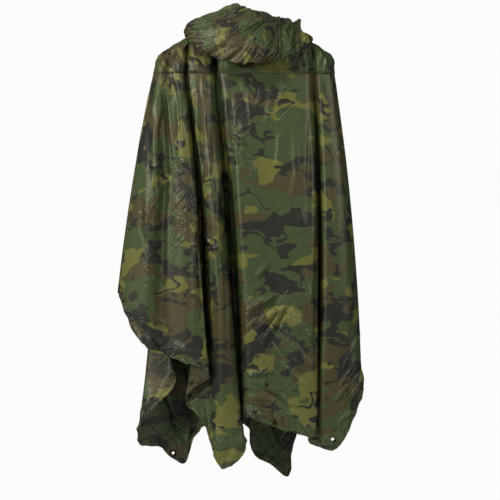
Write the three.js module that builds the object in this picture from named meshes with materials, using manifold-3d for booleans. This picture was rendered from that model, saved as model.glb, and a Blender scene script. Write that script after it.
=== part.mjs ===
// Rain poncho hanging on a wooden coat hanger.
// Millimetres, +Z up, +X to the wearer's left as seen from the front, the front faces -Y.
// The origin is the inside top of the hanger's hook, where it rests on a rod.

import * as THREE from 'three';
import { mergeVertices } from 'three/addons/utils/BufferGeometryUtils.js';
import Module from 'manifold-3d';

const wasm = await Module();
wasm.setup();

// Cloth
const WALL = 1.5;
const SEAM_GAP = 0.3;
const SEAM_Z = -172;
const STEPS_PER_FOLD = 3;
const PANEL_ROWS = 10;
// The solid of each hanging panel is divided at this height into an upper and a lower part.
const PANEL_SPLIT_Z = -680;
const FINEST = 0.08;
const YOKE_ROWS = 6;
const HOOD_COLUMNS = 44;
const HOOD_ROWS = 11;

// Shoulders and neck hole
const NECK_HALF_WIDTH = 140;
const NECK_HALF_DEPTH = 50;
const NECK_SIDE_Z = -58;
const NECK_FRONT_Z = -114;
const NECK_BACK_Z = -82;
const SHOULDER_TIP_X = 241;
const SHOULDER_TIP_Z = -126;
const SHOULDER_ROUNDING = 16;
const RIDGE_ROUNDNESS = 40;
const BEND_REACH = 0.97;
const BEND_DEPTH = 0.9;
const BEND_SHARE = 0.6;
const LEAST_DROP = 5;
const SIDE_REACH = 6;

// Hanger
const HANGER_HALF_LENGTH = 224;
const HANGER_THICKNESS = 12;
const HANGER_DEPTH_MIDDLE = 36;
const HANGER_DEPTH_END = 20;
const HANGER_SEAT = 2.2;
const HANGER_CROWN_Z = -46;
const HANGER_JOIN_X = 150;
const HANGER_BEVEL = 3.5;
const HANGER_STEPS = 20;
const HOOK_WIRE = 3.5;
const HOOK_RADIUS = 19;
const HOOK_ARC = { from: -62, to: 200, bends: 12, steps: 32 };
const ROUND_SIDES = 8;

// Small fittings
const SNAP_DIAMETER = 12;
const SNAP_HEIGHT = 2.6;
const SNAP_SIDES = 12;
// Shares of the radius and of the height of a snap's cap.
const SNAP_PROFILE = [[0, 0], [0.9, 0], [1, 0.27], [0.92, 0.7], [0.6, 1], [0.3, 0.8], [0, 0.75]];
const GROMMET = { hole: 9.5, barrel: 12.5, flange: 18, grip: 2.9, rim: 1.2, sides: 16 };
const EYELET = { hole: 6, barrel: 8, flange: 13, grip: 2.7, rim: 1, sides: 14 };
const CORD_DIAMETER = 4;
const KNOT_DIAMETER = 9;

// The folds of the front panel, from the left side round to the right one. x and y are where the fold
// stands at the seam, half way down and at the lower edge; hemZ is how low the cloth's edge hangs there.
const FRONT_FOLDS = [
  { fold: 'left side', topX: -252, topY: -6, midX: -309, midY: -13, hemX: -345, hemY: -14, hemZ: -785 },
  { fold: 'wing round', topX: -243, topY: -20, midX: -289, midY: -42, hemX: -314, hemY: -44, hemZ: -862 },
  { fold: 'wing ridge', topX: -228, topY: -30, midX: -254, midY: -68, hemX: -263, hemY: -62, hemZ: -924 },
  { fold: 'wing hollow', topX: -211, topY: -22, midX: -219, midY: -40, hemX: -213, hemY: -46, hemZ: -946 },
  { fold: 'second ridge', topX: -192, topY: -30, midX: -177, midY: -62, hemX: -153, hemY: -66, hemZ: -968 },
  { fold: 'wing tip', topX: -173, topY: -31, midX: -133, midY: -62, hemX: -100, hemY: -62, hemZ: -997 },
  { fold: 'deep pleat one', topX: -166, topY: -14, midX: -127, midY: 6, hemX: -166, hemY: -20, hemZ: -1068 },
  { fold: 'behind column', topX: -160, topY: -18, midX: -108, midY: -26, hemX: -106, hemY: -20, hemZ: -1140 },
  { fold: 'column left', topX: -153, topY: -31, midX: -98, midY: -52, hemX: -87, hemY: -46, hemZ: -1216 },
  { fold: 'column ridge', topX: -129, topY: -39, midX: -78, midY: -74, hemX: -54, hemY: -62, hemZ: -1252 },
  { fold: 'column right', topX: -98, topY: -35, midX: -55, midY: -56, hemX: -3, hemY: -50, hemZ: -1204 },
  { fold: 'deep pleat two', topX: -82, topY: -13, midX: -36, midY: 8, hemX: -16, hemY: -6, hemZ: -1146 },
  { fold: 'centre left', topX: -67, topY: -34, midX: -16, midY: -61, hemX: 4, hemY: -62, hemZ: -1116 },
  { fold: 'centre one', topX: -21, topY: -43, midX: 23, midY: -67, hemX: 51, hemY: -70, hemZ: -1127 },
  { fold: 'centre two', topX: 45, topY: -45, midX: 73, midY: -61, hemX: 106, hemY: -64, hemZ: -1146 },
  { fold: 'centre three', topX: 111, topY: -43, midX: 128, midY: -67, hemX: 153, hemY: -68, hemZ: -1159 },
  { fold: 'centre right', topX: 166, topY: -35, midX: 189, midY: -56, hemX: 194, hemY: -58, hemZ: -1165 },
  { fold: 'pleat three', topX: 188, topY: -20, midX: 200, midY: 3, hemX: 172, hemY: -28, hemZ: -1172 },
  { fold: 'right wing inner', topX: 199, topY: -31, midX: 212, midY: -48, hemX: 197, hemY: -48, hemZ: -1194 },
  { fold: 'front corner', topX: 216, topY: -29, midX: 243, midY: -54, hemX: 240, hemY: -52, hemZ: -1199 },
  { fold: 'right wing', topX: 233, topY: -21, midX: 276, midY: -42, hemX: 280, hemY: -46, hemZ: -1144 },
  { fold: 'right side', topX: 244, topY: -4, midX: 295, midY: -12, hemX: 318, hemY: -14, hemZ: -1040 },
  { fold: 'right behind', topX: 242, topY: 8, midX: 285, midY: 14, hemX: 296, hemY: 22, hemZ: -915 },
  { fold: 'right edge', topX: 238, topY: 16, midX: 266, midY: 30, hemX: 268, hemY: 38, hemZ: -775 },
];

// The folds of the back panel, from the right side on to the left one.
const BACK_FOLDS = [
  { fold: 'right edge', topX: 228, topY: 24, midX: 250, midY: 46, hemX: 250, hemY: 54, hemZ: -770 },
  { fold: 'right ridge', topX: 212, topY: 34, midX: 228, midY: 68, hemX: 226, hemY: 72, hemZ: -906 },
  { fold: 'right pleat', topX: 194, topY: 26, midX: 200, midY: 32, hemX: 190, hemY: 38, hemZ: -1057 },
  { fold: 'tail outer', topX: 176, topY: 36, midX: 172, midY: 68, hemX: 140, hemY: 60, hemZ: -1180 },
  { fold: 'tail corner', topX: 152, topY: 32, midX: 140, midY: 48, hemX: 122, hemY: 42, hemZ: -1284 },
  { fold: 'tail ridge', topX: 118, topY: 42, midX: 102, midY: 72, hemX: 74, hemY: 62, hemZ: -1260 },
  { fold: 'tail inner', topX: 80, topY: 34, midX: 62, midY: 50, hemX: 25, hemY: 44, hemZ: -1226 },
  { fold: 'middle pleat', topX: 44, topY: 27, midX: 30, midY: 28, hemX: 8, hemY: 32, hemZ: -1158 },
  { fold: 'middle ridge', topX: 0, topY: 44, midX: -6, midY: 72, hemX: -30, hemY: 68, hemZ: -1138 },
  { fold: 'middle left', topX: -46, topY: 36, midX: -52, midY: 50, hemX: -84, hemY: 52, hemZ: -1136 },
  { fold: 'left pleat', topX: -84, topY: 27, midX: -94, midY: 28, hemX: -124, hemY: 32, hemZ: -1154 },
  { fold: 'left ridge', topX: -112, topY: 40, midX: -124, midY: 64, hemX: -147, hemY: 58, hemZ: -1190 },
  { fold: 'back corner', topX: -136, topY: 40, midX: -148, midY: 68, hemX: -168, hemY: 56, hemZ: -1250 },
  { fold: 'corner fold', topX: -152, topY: 38, midX: -170, midY: 66, hemX: -206, hemY: 50, hemZ: -1236 },
  { fold: 'corner outer', topX: -168, topY: 32, midX: -190, midY: 52, hemX: -240, hemY: 34, hemZ: -1201 },
  { fold: 'under left', topX: -186, topY: 34, midX: -218, midY: 44, hemX: -286, hemY: 12, hemZ: -1195 },
  { fold: 'left turn', topX: -203, topY: 32, midX: -240, midY: 44, hemX: -294, hemY: -2, hemZ: -1150 },
  { fold: 'forward layer', topX: -218, topY: 27, midX: -259, midY: 38, hemX: -264, hemY: -12, hemZ: -1104 },
  { fold: 'forward tip', topX: -231, topY: 22, midX: -277, midY: 31, hemX: -190, hemY: -20, hemZ: -1013 },
  { fold: 'forward back', topX: -242, topY: 15, midX: -295, midY: 24, hemX: -256, hemY: 4, hemZ: -890 },
  { fold: 'left edge', topX: -250, topY: 8, midX: -308, midY: 14, hemX: -344, hemY: 12, hemZ: -787 },
];

// The hood's rings, from the neck seam over the slumped roll up to the face edge. left, right, front and back
// are how far the ring reaches, and the z columns are its height there.
const HOOD_RINGS = [
  { ring: 'seam', left: -140, right: 140, front: -50, back: 50,
    zLeft: -57, zRight: -57, zFront: -113, zBack: -81 },
  { ring: 'stand', left: -142, right: 143, front: -57, back: 54,
    zLeft: -47, zRight: -49, zFront: -106, zBack: -73 },
  { ring: 'roll under', left: -156, right: 168, front: -76, back: 66,
    zLeft: -60, zRight: -68, zFront: -134, zBack: -94 },
  { ring: 'roll', left: -165, right: 184, front: -94, back: 76,
    zLeft: -66, zRight: -82, zFront: -152, zBack: -106 },
  { ring: 'roll over', left: -166, right: 183, front: -100, back: 78,
    zLeft: -52, zRight: -74, zFront: -124, zBack: -86 },
  { ring: 'slump', left: -152, right: 170, front: -90, back: 70,
    zLeft: -36, zRight: -65, zFront: -92, zBack: -58 },
  { ring: 'gather', left: -122, right: 157, front: -76, back: 58,
    zLeft: -22, zRight: -60, zFront: -62, zBack: -34 },
  { ring: 'channel', left: -66, right: 149, front: -55, back: 44,
    zLeft: 0, zRight: -46, zFront: -28, zBack: -16 },
  { ring: 'face edge', left: -22, right: 145, front: -40, back: 32,
    zLeft: 14, zRight: -27, zFront: -4, zBack: -3 },
];

// Long folds that run over the slumped hood: where round the hood each lies, how far it turns on its way up,
// how wide it is, and how high it stands.
const HOOD_FOLDS = [
  { fold: 'left drag', turn: -150, slant: 40, width: 9, height: 6 },
  { fold: 'long drag', turn: -125, slant: 48, width: 8, height: -7 },
  { fold: 'second drag', turn: -104, slant: 40, width: 9, height: 7 },
  { fold: 'middle drag', turn: -82, slant: 30, width: 8, height: -6 },
  { fold: 'right drag', turn: -60, slant: 14, width: 9, height: 6 },
  { fold: 'right tuck', turn: -30, slant: -10, width: 10, height: -6 },
  { fold: 'back drag one', turn: 40, slant: 20, width: 14, height: 6 },
  { fold: 'back drag two', turn: 85, slant: -14, width: 14, height: -6 },
  { fold: 'back drag three', turn: 130, slant: -20, width: 13, height: 6 },
];

// Dips of the face edge.
const FACE_DIPS = [
  { dip: 'under the cords', turn: -70, width: 30, depth: 22 },
  { dip: 'open corner', turn: -33, width: 10, depth: 24 },
  { dip: 'far edge', turn: 55, width: 30, depth: 24 },
];

// The two free ends of the drawcord, from the hood's face edge over the slumped hood to their knots:
// the bends of each, and the points on its route from one bend to the next.
const DRAWCORDS = {
  left: [
    [73.4, -48.6, -31], [74.5, -57.4, -42], [75.5, -66.2, -54], [78, -71.4, -66], [82, -76.4, -78],
    [85, -81.8, -92], [86, -87.6, -106], [85, -90, -118], [82, -92.2, -129], [76, -93.8, -137],
    [70, -95, -143],
  ],
  right: [
    [93.2, -45.4, -31], [93.2, -52.8, -42], [93.4, -57.6, -54], [93.6, -65.2, -66], [94, -74.2, -80],
    [94.4, -82.2, -94], [95, -87.8, -106], [94.5, -90, -118], [92, -91.6, -128], [87, -92, -136],
    [82, -92.4, -142],
  ],
};
const ROUTE_STEPS = 20;

// Colours
const CLOTH_GREEN = 0x46523a;
const CORD_OLIVE = 0x2c3126;
const BRASS = 0x6d6440;
const LACQUER = 0x23241f;
const EYELET_LACQUER = 0x3c3f35;
const BEECH = 0xa87b4a;
const STEEL = 0xb8b8b6;

const degrees = THREE.MathUtils.degToRad;

function paint(color, roughness, metalness) {
  return new THREE.MeshStandardMaterial({ color, roughness, metalness });
}

function clothColour() {
  return paint(CLOTH_GREEN, 0.42, 0);
}

function cordColour() {
  return paint(CORD_OLIVE, 0.8, 0);
}

// A smooth curve through three values at the top, half way down and at the lower edge.
function throughThree(top, middle, hem, down) {
  return top * (1 - down) * (1 - 2 * down) + middle * 4 * down * (1 - down) + hem * down * (2 * down - 1);
}

function foldPoint(fold, down) {
  return new THREE.Vector3(
    throughThree(fold.topX, fold.midX, fold.hemX, down),
    throughThree(fold.topY, fold.midY, fold.hemY, down),
    SEAM_Z + (fold.hemZ - SEAM_Z) * down,
  );
}

function smoothBetween(before, start, end, after, share) {
  const square = share * share;
  const cube = square * share;
  return new THREE.Vector3()
    .addScaledVector(before, (-cube + 2 * square - share) / 2)
    .addScaledVector(start, (3 * cube - 5 * square + 2) / 2)
    .addScaledVector(end, (-3 * cube + 4 * square + share) / 2)
    .addScaledVector(after, (cube - square) / 2);
}

// The whole cloth below the seam is one ring of folds, front then back.
const ALL_FOLDS = [...FRONT_FOLDS, ...BACK_FOLDS];
const FRONT_END = FRONT_FOLDS.length - 1;
const BACK_START = FRONT_FOLDS.length;
const BACK_END = ALL_FOLDS.length - 1;

function ringFold(index) {
  const count = ALL_FOLDS.length;
  return ALL_FOLDS[((index % count) + count) % count];
}

function clothPoint(around, down) {
  const index = Math.floor(around);
  const near = [-1, 0, 1, 2].map((step) => foldPoint(ringFold(index + step), down));
  return smoothBetween(near[0], near[1], near[2], near[3], around - index);
}

// The height of the shoulders' ridge at a distance from the middle.
function ridgeHeight(x) {
  const slope = (SHOULDER_TIP_Z - NECK_SIDE_Z) / (SHOULDER_TIP_X - NECK_HALF_WIDTH);
  return NECK_SIDE_Z + slope * Math.max(0, Math.abs(x) - NECK_HALF_WIDTH);
}

// How far a point of a ring counts as its side, and not as its front or back.
function sideShare(sideways) {
  return Math.abs(sideways) ** 3;
}

// The cloth above the seam runs from the neck hole over the shoulder and down to the seam.
function yokePath(around) {
  const seam = clothPoint(around, 0);
  const turn = THREE.MathUtils.clamp(seam.x / (SHOULDER_TIP_X + SIDE_REACH), -1, 1) * Math.PI / 2;
  const inFront = seam.y < 0;
  const side = sideShare(Math.sin(turn));
  const neckZ = side * NECK_SIDE_Z + (1 - side) * (inFront ? NECK_FRONT_Z : NECK_BACK_Z);
  const neckY = (inFront ? -1 : 1) * NECK_HALF_DEPTH * Math.cos(turn);
  const neck = new THREE.Vector3(NECK_HALF_WIDTH * Math.sin(turn), neckY, neckZ);
  const bendX = seam.x * BEND_REACH;
  const bendZ = Math.min(ridgeHeight(bendX) - seam.y ** 2 / RIDGE_ROUNDNESS, neckZ - LEAST_DROP);
  const bend = new THREE.Vector3(bendX, seam.y * BEND_DEPTH, bendZ);
  seam.z = SEAM_Z + SEAM_GAP;
  return { neck, bend, seam };
}

function yokePoint(around, down) {
  const { neck, bend, seam } = yokePath(around);
  const first = neck.distanceTo(bend);
  const second = bend.distanceTo(seam);
  const rounding = Math.min(SHOULDER_ROUNDING, first * BEND_SHARE, second * BEND_SHARE);
  const startBend = bend.clone().lerp(neck, rounding / first);
  const endBend = bend.clone().lerp(seam, rounding / second);
  const BEND_STARTS = 0.5;
  const BEND_ENDS = 0.82;
  if (down <= BEND_STARTS) return neck.clone().lerp(startBend, down / BEND_STARTS);
  if (down >= BEND_ENDS) return endBend.lerp(seam, (down - BEND_ENDS) / (1 - BEND_ENDS));
  const share = (down - BEND_STARTS) / (BEND_ENDS - BEND_STARTS);
  return new THREE.QuadraticBezierCurve3(startBend, bend, endBend).getPoint(share);
}

// A wall of cloth on a grid of points. used(row, column) says which cells are cloth.
function clothWall(grid, closed, used) {
  const rows = grid.length;
  const columns = grid[0].length;
  const wrap = (column) => (closed ? (column + columns) % columns : column);
  const cellColumns = closed ? columns : columns - 1;
  const inRows = (row) => row >= 0 && row < rows - 1;
  const inColumns = (column) => closed || (column >= 0 && column < cellColumns);
  const isCloth = (row, column) => inRows(row) && inColumns(column) && used(row, wrap(column));
  const at = (row, column) => {
    const r = THREE.MathUtils.clamp(row, 0, rows - 1);
    const c = closed ? wrap(column) : THREE.MathUtils.clamp(column, 0, columns - 1);
    return grid[r][c];
  };
  const vertices = [];
  const numbers = new Map();
  const corner = (row, column, sign) => {
    const key = `${row},${wrap(column)},${sign}`;
    if (!numbers.has(key)) {
      const across = at(row, column + 1).clone().sub(at(row, column - 1));
      const down = at(row + 1, column).clone().sub(at(row - 1, column));
      const outward = down.cross(across).normalize();
      const point = at(row, column).clone().addScaledVector(outward, sign * WALL / 2);
      numbers.set(key, vertices.length / 3);
      vertices.push(point.x, point.y, point.z);
    }
    return numbers.get(key);
  };
  const triangles = [];
  const quad = (a, b, c, d) => triangles.push(a, b, c, a, c, d);
  const edge = (rowA, columnA, rowB, columnB) => quad(
    corner(rowA, columnA, 1),
    corner(rowA, columnA, -1),
    corner(rowB, columnB, -1),
    corner(rowB, columnB, 1),
  );
  for (let row = 0; row < rows - 1; row += 1) {
    for (let column = 0; column < cellColumns; column += 1) {
      if (!isCloth(row, column)) continue;
      const square = [[row, column], [row + 1, column], [row + 1, column + 1], [row, column + 1]];
      quad(...square.map(([r, c]) => corner(r, c, 1)));
      quad(...[...square].reverse().map(([r, c]) => corner(r, c, -1)));
      if (!isCloth(row, column - 1)) edge(row, column, row + 1, column);
      if (!isCloth(row + 1, column)) edge(row + 1, column, row + 1, column + 1);
      if (!isCloth(row, column + 1)) edge(row + 1, column + 1, row, column + 1);
      if (!isCloth(row - 1, column)) edge(row, column + 1, row, column);
    }
  }
  const geometry = new THREE.BufferGeometry();
  geometry.setAttribute('position', new THREE.Float32BufferAttribute(vertices, 3));
  geometry.setIndex(triangles);
  return geometry;
}

function steps(start, end, count) {
  return Array.from({ length: count + 1 }, (_, index) => start + (end - start) * index / count);
}

// A tiny share of a fold, which leaves half a seam's gap beside it.
const EDGE_SHARE = 0.012;

function panelGrid(start, end) {
  const columns = steps(start, end, (end - start) * STEPS_PER_FOLD);
  columns[0] += EDGE_SHARE;
  columns[columns.length - 1] -= EDGE_SHARE;
  return steps(0, 1, PANEL_ROWS).map((down) => columns.map((around) => clothPoint(around, down)));
}

function centreGeometry() {
  const count = ALL_FOLDS.length;
  const front = steps(0, FRONT_END, FRONT_END * STEPS_PER_FOLD);
  const rightStrip = [FRONT_END + EDGE_SHARE, FRONT_END + 0.5, BACK_START - EDGE_SHARE];
  const back = steps(BACK_START, BACK_END, (BACK_END - BACK_START) * STEPS_PER_FOLD);
  const leftStrip = [BACK_END + EDGE_SHARE, BACK_END + 0.5, count - EDGE_SHARE];
  const columns = [...front.slice(0, -1), ...rightStrip, ...back.slice(1, -1), ...leftStrip];
  columns.shift();
  const inStrip = (around) => (around > FRONT_END && around < BACK_START) || around > BACK_END;
  const row = (pointAt, down) => columns.map((around) => pointAt(around, down));
  const yoke = steps(0, 1, YOKE_ROWS).map((down) => row(yokePoint, down));
  const strips = steps(0, 1, PANEL_ROWS).slice(1).map((down) => row(clothPoint, down));
  const grid = [...yoke, ...strips];
  return clothWall(grid, true, (rowNumber, column) => {
    if (rowNumber < YOKE_ROWS) return true;
    const next = columns[(column + 1) % columns.length];
    return inStrip(columns[column]) && inStrip(next) && next > columns[column];
  });
}

function ringPoint(ring, angle) {
  const cos = Math.cos(angle);
  const sin = Math.sin(angle);
  const x = (ring.left + ring.right) / 2 + (ring.right - ring.left) / 2 * cos;
  const y = sin < 0 ? -ring.front * sin : ring.back * sin;
  const zAcross = cos < 0 ? ring.zLeft : ring.zRight;
  const zAlong = sin < 0 ? ring.zFront : ring.zBack;
  const side = sideShare(cos);
  return new THREE.Vector3(x, y, zAcross * side + zAlong * (1 - side));
}

function angleApart(a, b) {
  return Math.abs(((a - b + 540) % 360) - 180);
}

function hoodPoint(turn, up) {
  const place = up * (HOOD_RINGS.length - 1);
  const index = Math.min(Math.floor(place), HOOD_RINGS.length - 2);
  const pick = (step) => THREE.MathUtils.clamp(index + step, 0, HOOD_RINGS.length - 1);
  const near = [-1, 0, 1, 2].map((step) => ringPoint(HOOD_RINGS[pick(step)], degrees(turn)));
  const point = smoothBetween(near[0], near[1], near[2], near[3], place - index);
  const FOLDS_START = 0.3;
  const upFolds = THREE.MathUtils.clamp((up - FOLDS_START) / (1 - FOLDS_START), 0, 1);
  const swell = Math.sin(Math.PI * upFolds) ** 0.7;
  for (const fold of HOOD_FOLDS) {
    const across = angleApart(turn, fold.turn + fold.slant * up) / fold.width;
    const lift = fold.height * swell * Math.exp(-across * across);
    point.x += lift * Math.cos(degrees(turn));
    point.y += lift * Math.sin(degrees(turn));
  }
  const DIPS_START = 0.45;
  const towardsEdge = Math.max(0, up - DIPS_START) / (1 - DIPS_START);
  for (const dip of FACE_DIPS) {
    const across = angleApart(turn, dip.turn) / dip.width;
    point.z -= dip.depth * Math.exp(-across * across) * towardsEdge ** 1.5;
  }
  return point;
}

function hoodGrid(startTurn) {
  const columns = steps(startTurn, startTurn + 180, HOOD_COLUMNS / 2);
  const HALF_GAP_DEGREES = 0.25;
  columns[0] += HALF_GAP_DEGREES;
  columns[columns.length - 1] -= HALF_GAP_DEGREES;
  return steps(1, 0, HOOD_ROWS).map((up) => columns.map((turn) => hoodPoint(turn, up)));
}

function asSolid(geometry) {
  const plain = geometry.clone();
  plain.deleteAttribute('normal');
  plain.deleteAttribute('uv');
  const SAME_POINT = 1e-4;
  const merged = mergeVertices(plain, SAME_POINT);
  return new wasm.Manifold(new wasm.Mesh({
    numProp: 3,
    vertProperties: new Float32Array(merged.attributes.position.array),
    triVerts: new Uint32Array(merged.index.array),
  }));
}

function asGeometry(solid) {
  const mesh = solid.getMesh();
  const geometry = new THREE.BufferGeometry();
  geometry.setAttribute('position', new THREE.Float32BufferAttribute(mesh.vertProperties, 3));
  geometry.setIndex(new THREE.Uint32BufferAttribute(mesh.triVerts, 1));
  return geometry;
}

// Where a fitting sits on a panel's facets, and the way its axis points. across and down count cells.
function seat(grid, across, down) {
  const column = Math.floor(across);
  const row = Math.floor(down);
  const corners = [[row, column], [row + 1, column], [row + 1, column + 1], [row, column + 1]];
  const [a, b, c, d] = corners.map(([r, k]) => grid[r][k]);
  const lower = down - row > across - column;
  const downwards = lower ? b.clone().sub(a) : c.clone().sub(d);
  const sideways = lower ? c.clone().sub(b) : d.clone().sub(a);
  const point = a.clone().addScaledVector(downwards, down - row).addScaledVector(sideways, across - column);
  return { point, outward: downwards.cross(sideways).normalize() };
}

function turned(profile, sides, { point, outward }) {
  const outline = profile.map(([radius, height]) => new THREE.Vector2(radius, height));
  const geometry = new THREE.LatheGeometry(outline, sides);
  const turn = new THREE.Quaternion().setFromUnitVectors(new THREE.Vector3(0, 1, 0), outward);
  return geometry.applyQuaternion(turn).translate(point.x, point.y, point.z);
}

function pressedRing(size, place) {
  const [inner, barrel, flange] = [size.hole / 2, size.barrel / 2, size.flange / 2];
  const face = size.grip / 2;
  const top = face + size.rim;
  return turned([
    [inner, -top], [flange - size.rim / 2, -top], [flange, -face - size.rim / 3],
    [flange - size.rim / 4, -face], [barrel, -face], [barrel, face], [flange - size.rim / 4, face],
    [flange, face + size.rim / 3], [flange - size.rim / 2, top], [inner, top], [inner, -top],
  ], size.sides, place);
}

// The cloth makes room for the ring's barrel, and for its flanges where the cloth isn't quite flat.
function cutForRing(geometry, size, place) {
  const REACH = 5;
  const flange = size.flange / 2 + SEAM_GAP;
  const barrel = size.barrel / 2 + SEAM_GAP;
  const face = size.grip / 2 - SEAM_GAP;
  const room = turned([
    [0, -REACH], [flange, -REACH], [flange, -face], [barrel, -face],
    [barrel, face], [flange, face], [flange, REACH], [0, REACH],
  ], size.sides, place);
  return asGeometry(asSolid(geometry).subtract(asSolid(room)));
}

function snapSolid(place, face, lift) {
  const radius = SNAP_DIAMETER / 2;
  const outward = place.outward.clone().multiplyScalar(face);
  const point = place.point.clone().addScaledVector(outward, WALL / 2 + lift);
  const profile = SNAP_PROFILE.map(([out, up]) => [radius * out, SNAP_HEIGHT * up]);
  return turned(profile, SNAP_SIDES, { point, outward });
}

// A snap's cap sits as close to the cloth as its facets let it.
function snapGeometry(cloth, place, face) {
  const STEP = 0.1;
  let lift = SEAM_GAP;
  let geometry = snapSolid(place, face, lift);
  while (cloth.intersect(asSolid(snapSolid(place, face, lift - SEAM_GAP))).volume() > 0) {
    lift += STEP;
    geometry = snapSolid(place, face, lift);
  }
  return geometry;
}

// The eyelet sits in this cell of the hood's near half, counted from its left end and its face edge.
const EYELET_CELL = { across: 9.65, down: 0.7 };

// Where each grommet sits: its panel, and how many folds along and what share down that panel.
const GROMMETS = [
  { name: 'grommet_front_corner', panel: 'front', across: 18.83, down: 0.975 },
  { name: 'grommet_front_hem', panel: 'front', across: 13.5, down: 0.985 },
  { name: 'grommet_back_corner', panel: 'back', across: 12.83, down: 0.985 },
];

// The snaps that show, placed the same way, with the face of the cloth that each sits on.
const SNAPS = [
  { name: 'snap_1', panel: 'front', across: 0.45, down: 0.97, face: 1 },
  { name: 'snap_2', panel: 'front', across: 2.5, down: 0.97, face: 1 },
  { name: 'snap_3', panel: 'front', across: 4.8, down: 0.975, face: 1 },
  { name: 'snap_4', panel: 'front', across: 5.76, down: 0.965, face: -1 },
  { name: 'snap_5', panel: 'front', across: 6.2, down: 0.97, face: 1 },
  { name: 'snap_6', panel: 'front', across: 13.17, down: 0.89, face: 1 },
  { name: 'snap_7', panel: 'front', across: 20.8, down: 0.97, face: 1 },
];

function allCloth() {
  return true;
}

// The cut leaves slivers, which are taken out as far as that moves the cloth by less than FINEST.
function upperPart(geometry) {
  return asGeometry(asSolid(geometry).trimByPlane([0, 0, 1], PANEL_SPLIT_Z + SEAM_GAP / 2).simplify(FINEST));
}

function lowerPart(geometry) {
  return asGeometry(asSolid(geometry).trimByPlane([0, 0, -1], SEAM_GAP / 2 - PANEL_SPLIT_Z).simplify(FINEST));
}

function bodyPanels() {
  const grids = { front: panelGrid(0, FRONT_END), back: panelGrid(BACK_START, BACK_END) };
  const cloth = {
    front: clothWall(grids.front, false, allCloth),
    back: clothWall(grids.back, false, allCloth),
  };
  const place = ({ panel, across, down }) => seat(grids[panel], across * STEPS_PER_FOLD, down * PANEL_ROWS);
  const fittings = [];
  for (const grommet of GROMMETS) {
    cloth[grommet.panel] = cutForRing(cloth[grommet.panel], GROMMET, place(grommet));
    const geometry = pressedRing(GROMMET, place(grommet));
    fittings.push({ name: grommet.name, geometry, material: paint(BRASS, 0.4, 0.9) });
  }
  for (const snap of SNAPS) {
    const geometry = snapGeometry(asSolid(cloth[snap.panel]), place(snap), snap.face);
    fittings.push({ name: snap.name, geometry, material: paint(LACQUER, 0.5, 0.6) });
  }
  return [
    { name: 'front_panel_upper', geometry: upperPart(cloth.front), material: clothColour() },
    { name: 'front_panel_lower', geometry: lowerPart(cloth.front), material: clothColour() },
    { name: 'back_panel_upper', geometry: upperPart(cloth.back), material: clothColour() },
    { name: 'back_panel_lower', geometry: lowerPart(cloth.back), material: clothColour() },
    { name: 'centre_panel', geometry: centreGeometry(), material: clothColour() },
    ...fittings,
  ];
}

function hoodPieces() {
  const nearGrid = hoodGrid(-180);
  const place = seat(nearGrid, EYELET_CELL.across, EYELET_CELL.down);
  const near = cutForRing(clothWall(nearGrid, false, allCloth), EYELET, place);
  const far = clothWall(hoodGrid(0), false, allCloth);
  return [
    { name: 'hood_near_half', geometry: near, material: clothColour() },
    { name: 'hood_far_half', geometry: far, material: clothColour() },
    { name: 'hood_eyelet', geometry: pressedRing(EYELET, place), material: paint(EYELET_LACQUER, 0.4, 0.9) },
  ];
}

// The upper edge of the hanger follows the shoulders' ridge, a seat's gap below it.
function hangerTop(x) {
  const slope = (SHOULDER_TIP_Z - NECK_SIDE_Z) / (SHOULDER_TIP_X - NECK_HALF_WIDTH);
  const seatZ = NECK_SIDE_Z + slope * (Math.abs(x) - NECK_HALF_WIDTH) - HANGER_SEAT;
  if (Math.abs(x) >= HANGER_JOIN_X) return seatZ;
  const joinZ = NECK_SIDE_Z + slope * (HANGER_JOIN_X - NECK_HALF_WIDTH) - HANGER_SEAT;
  const share = 1 - Math.abs(x) / HANGER_JOIN_X;
  const crown = HANGER_CROWN_Z - joinZ;
  return joinZ - slope * HANGER_JOIN_X * share * (1 - share) ** 2 + crown * share * share * (3 - 2 * share);
}

function hangerGeometry() {
  const xs = steps(-HANGER_HALF_LENGTH, HANGER_HALF_LENGTH, HANGER_STEPS);
  const inset = (x) => x * (1 - HANGER_BEVEL / HANGER_HALF_LENGTH);
  const depth = (x) => HANGER_DEPTH_MIDDLE
    + (HANGER_DEPTH_END - HANGER_DEPTH_MIDDLE) * (x / HANGER_HALF_LENGTH) ** 2;
  const top = xs.map((x) => new THREE.Vector2(inset(x), hangerTop(x) - HANGER_BEVEL));
  const bottom = xs.map((x) => new THREE.Vector2(inset(x), hangerTop(x) - depth(x) + HANGER_BEVEL));
  const geometry = new THREE.ExtrudeGeometry(new THREE.Shape([...bottom, ...top.reverse()]), {
    depth: HANGER_THICKNESS - 2 * HANGER_BEVEL,
    bevelEnabled: true,
    bevelThickness: HANGER_BEVEL,
    bevelSize: HANGER_BEVEL,
    bevelSegments: 2,
    steps: 1,
  });
  return geometry.translate(0, 0, -(HANGER_THICKNESS / 2 - HANGER_BEVEL)).rotateX(Math.PI / 2);
}

function circleShape(radius, sides) {
  const shape = new THREE.Shape();
  steps(0, 2 * Math.PI, sides).slice(0, -1).forEach((angle, index) => {
    const x = radius * Math.cos(angle);
    const y = radius * Math.sin(angle);
    if (index === 0) shape.moveTo(x, y);
    else shape.lineTo(x, y);
  });
  return shape;
}

function tubeAlong(points, diameter, sides, count) {
  const curve = new THREE.CatmullRomCurve3(points, false, 'centripetal');
  return new THREE.ExtrudeGeometry(circleShape(diameter / 2, sides), { steps: count, extrudePath: curve });
}

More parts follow.
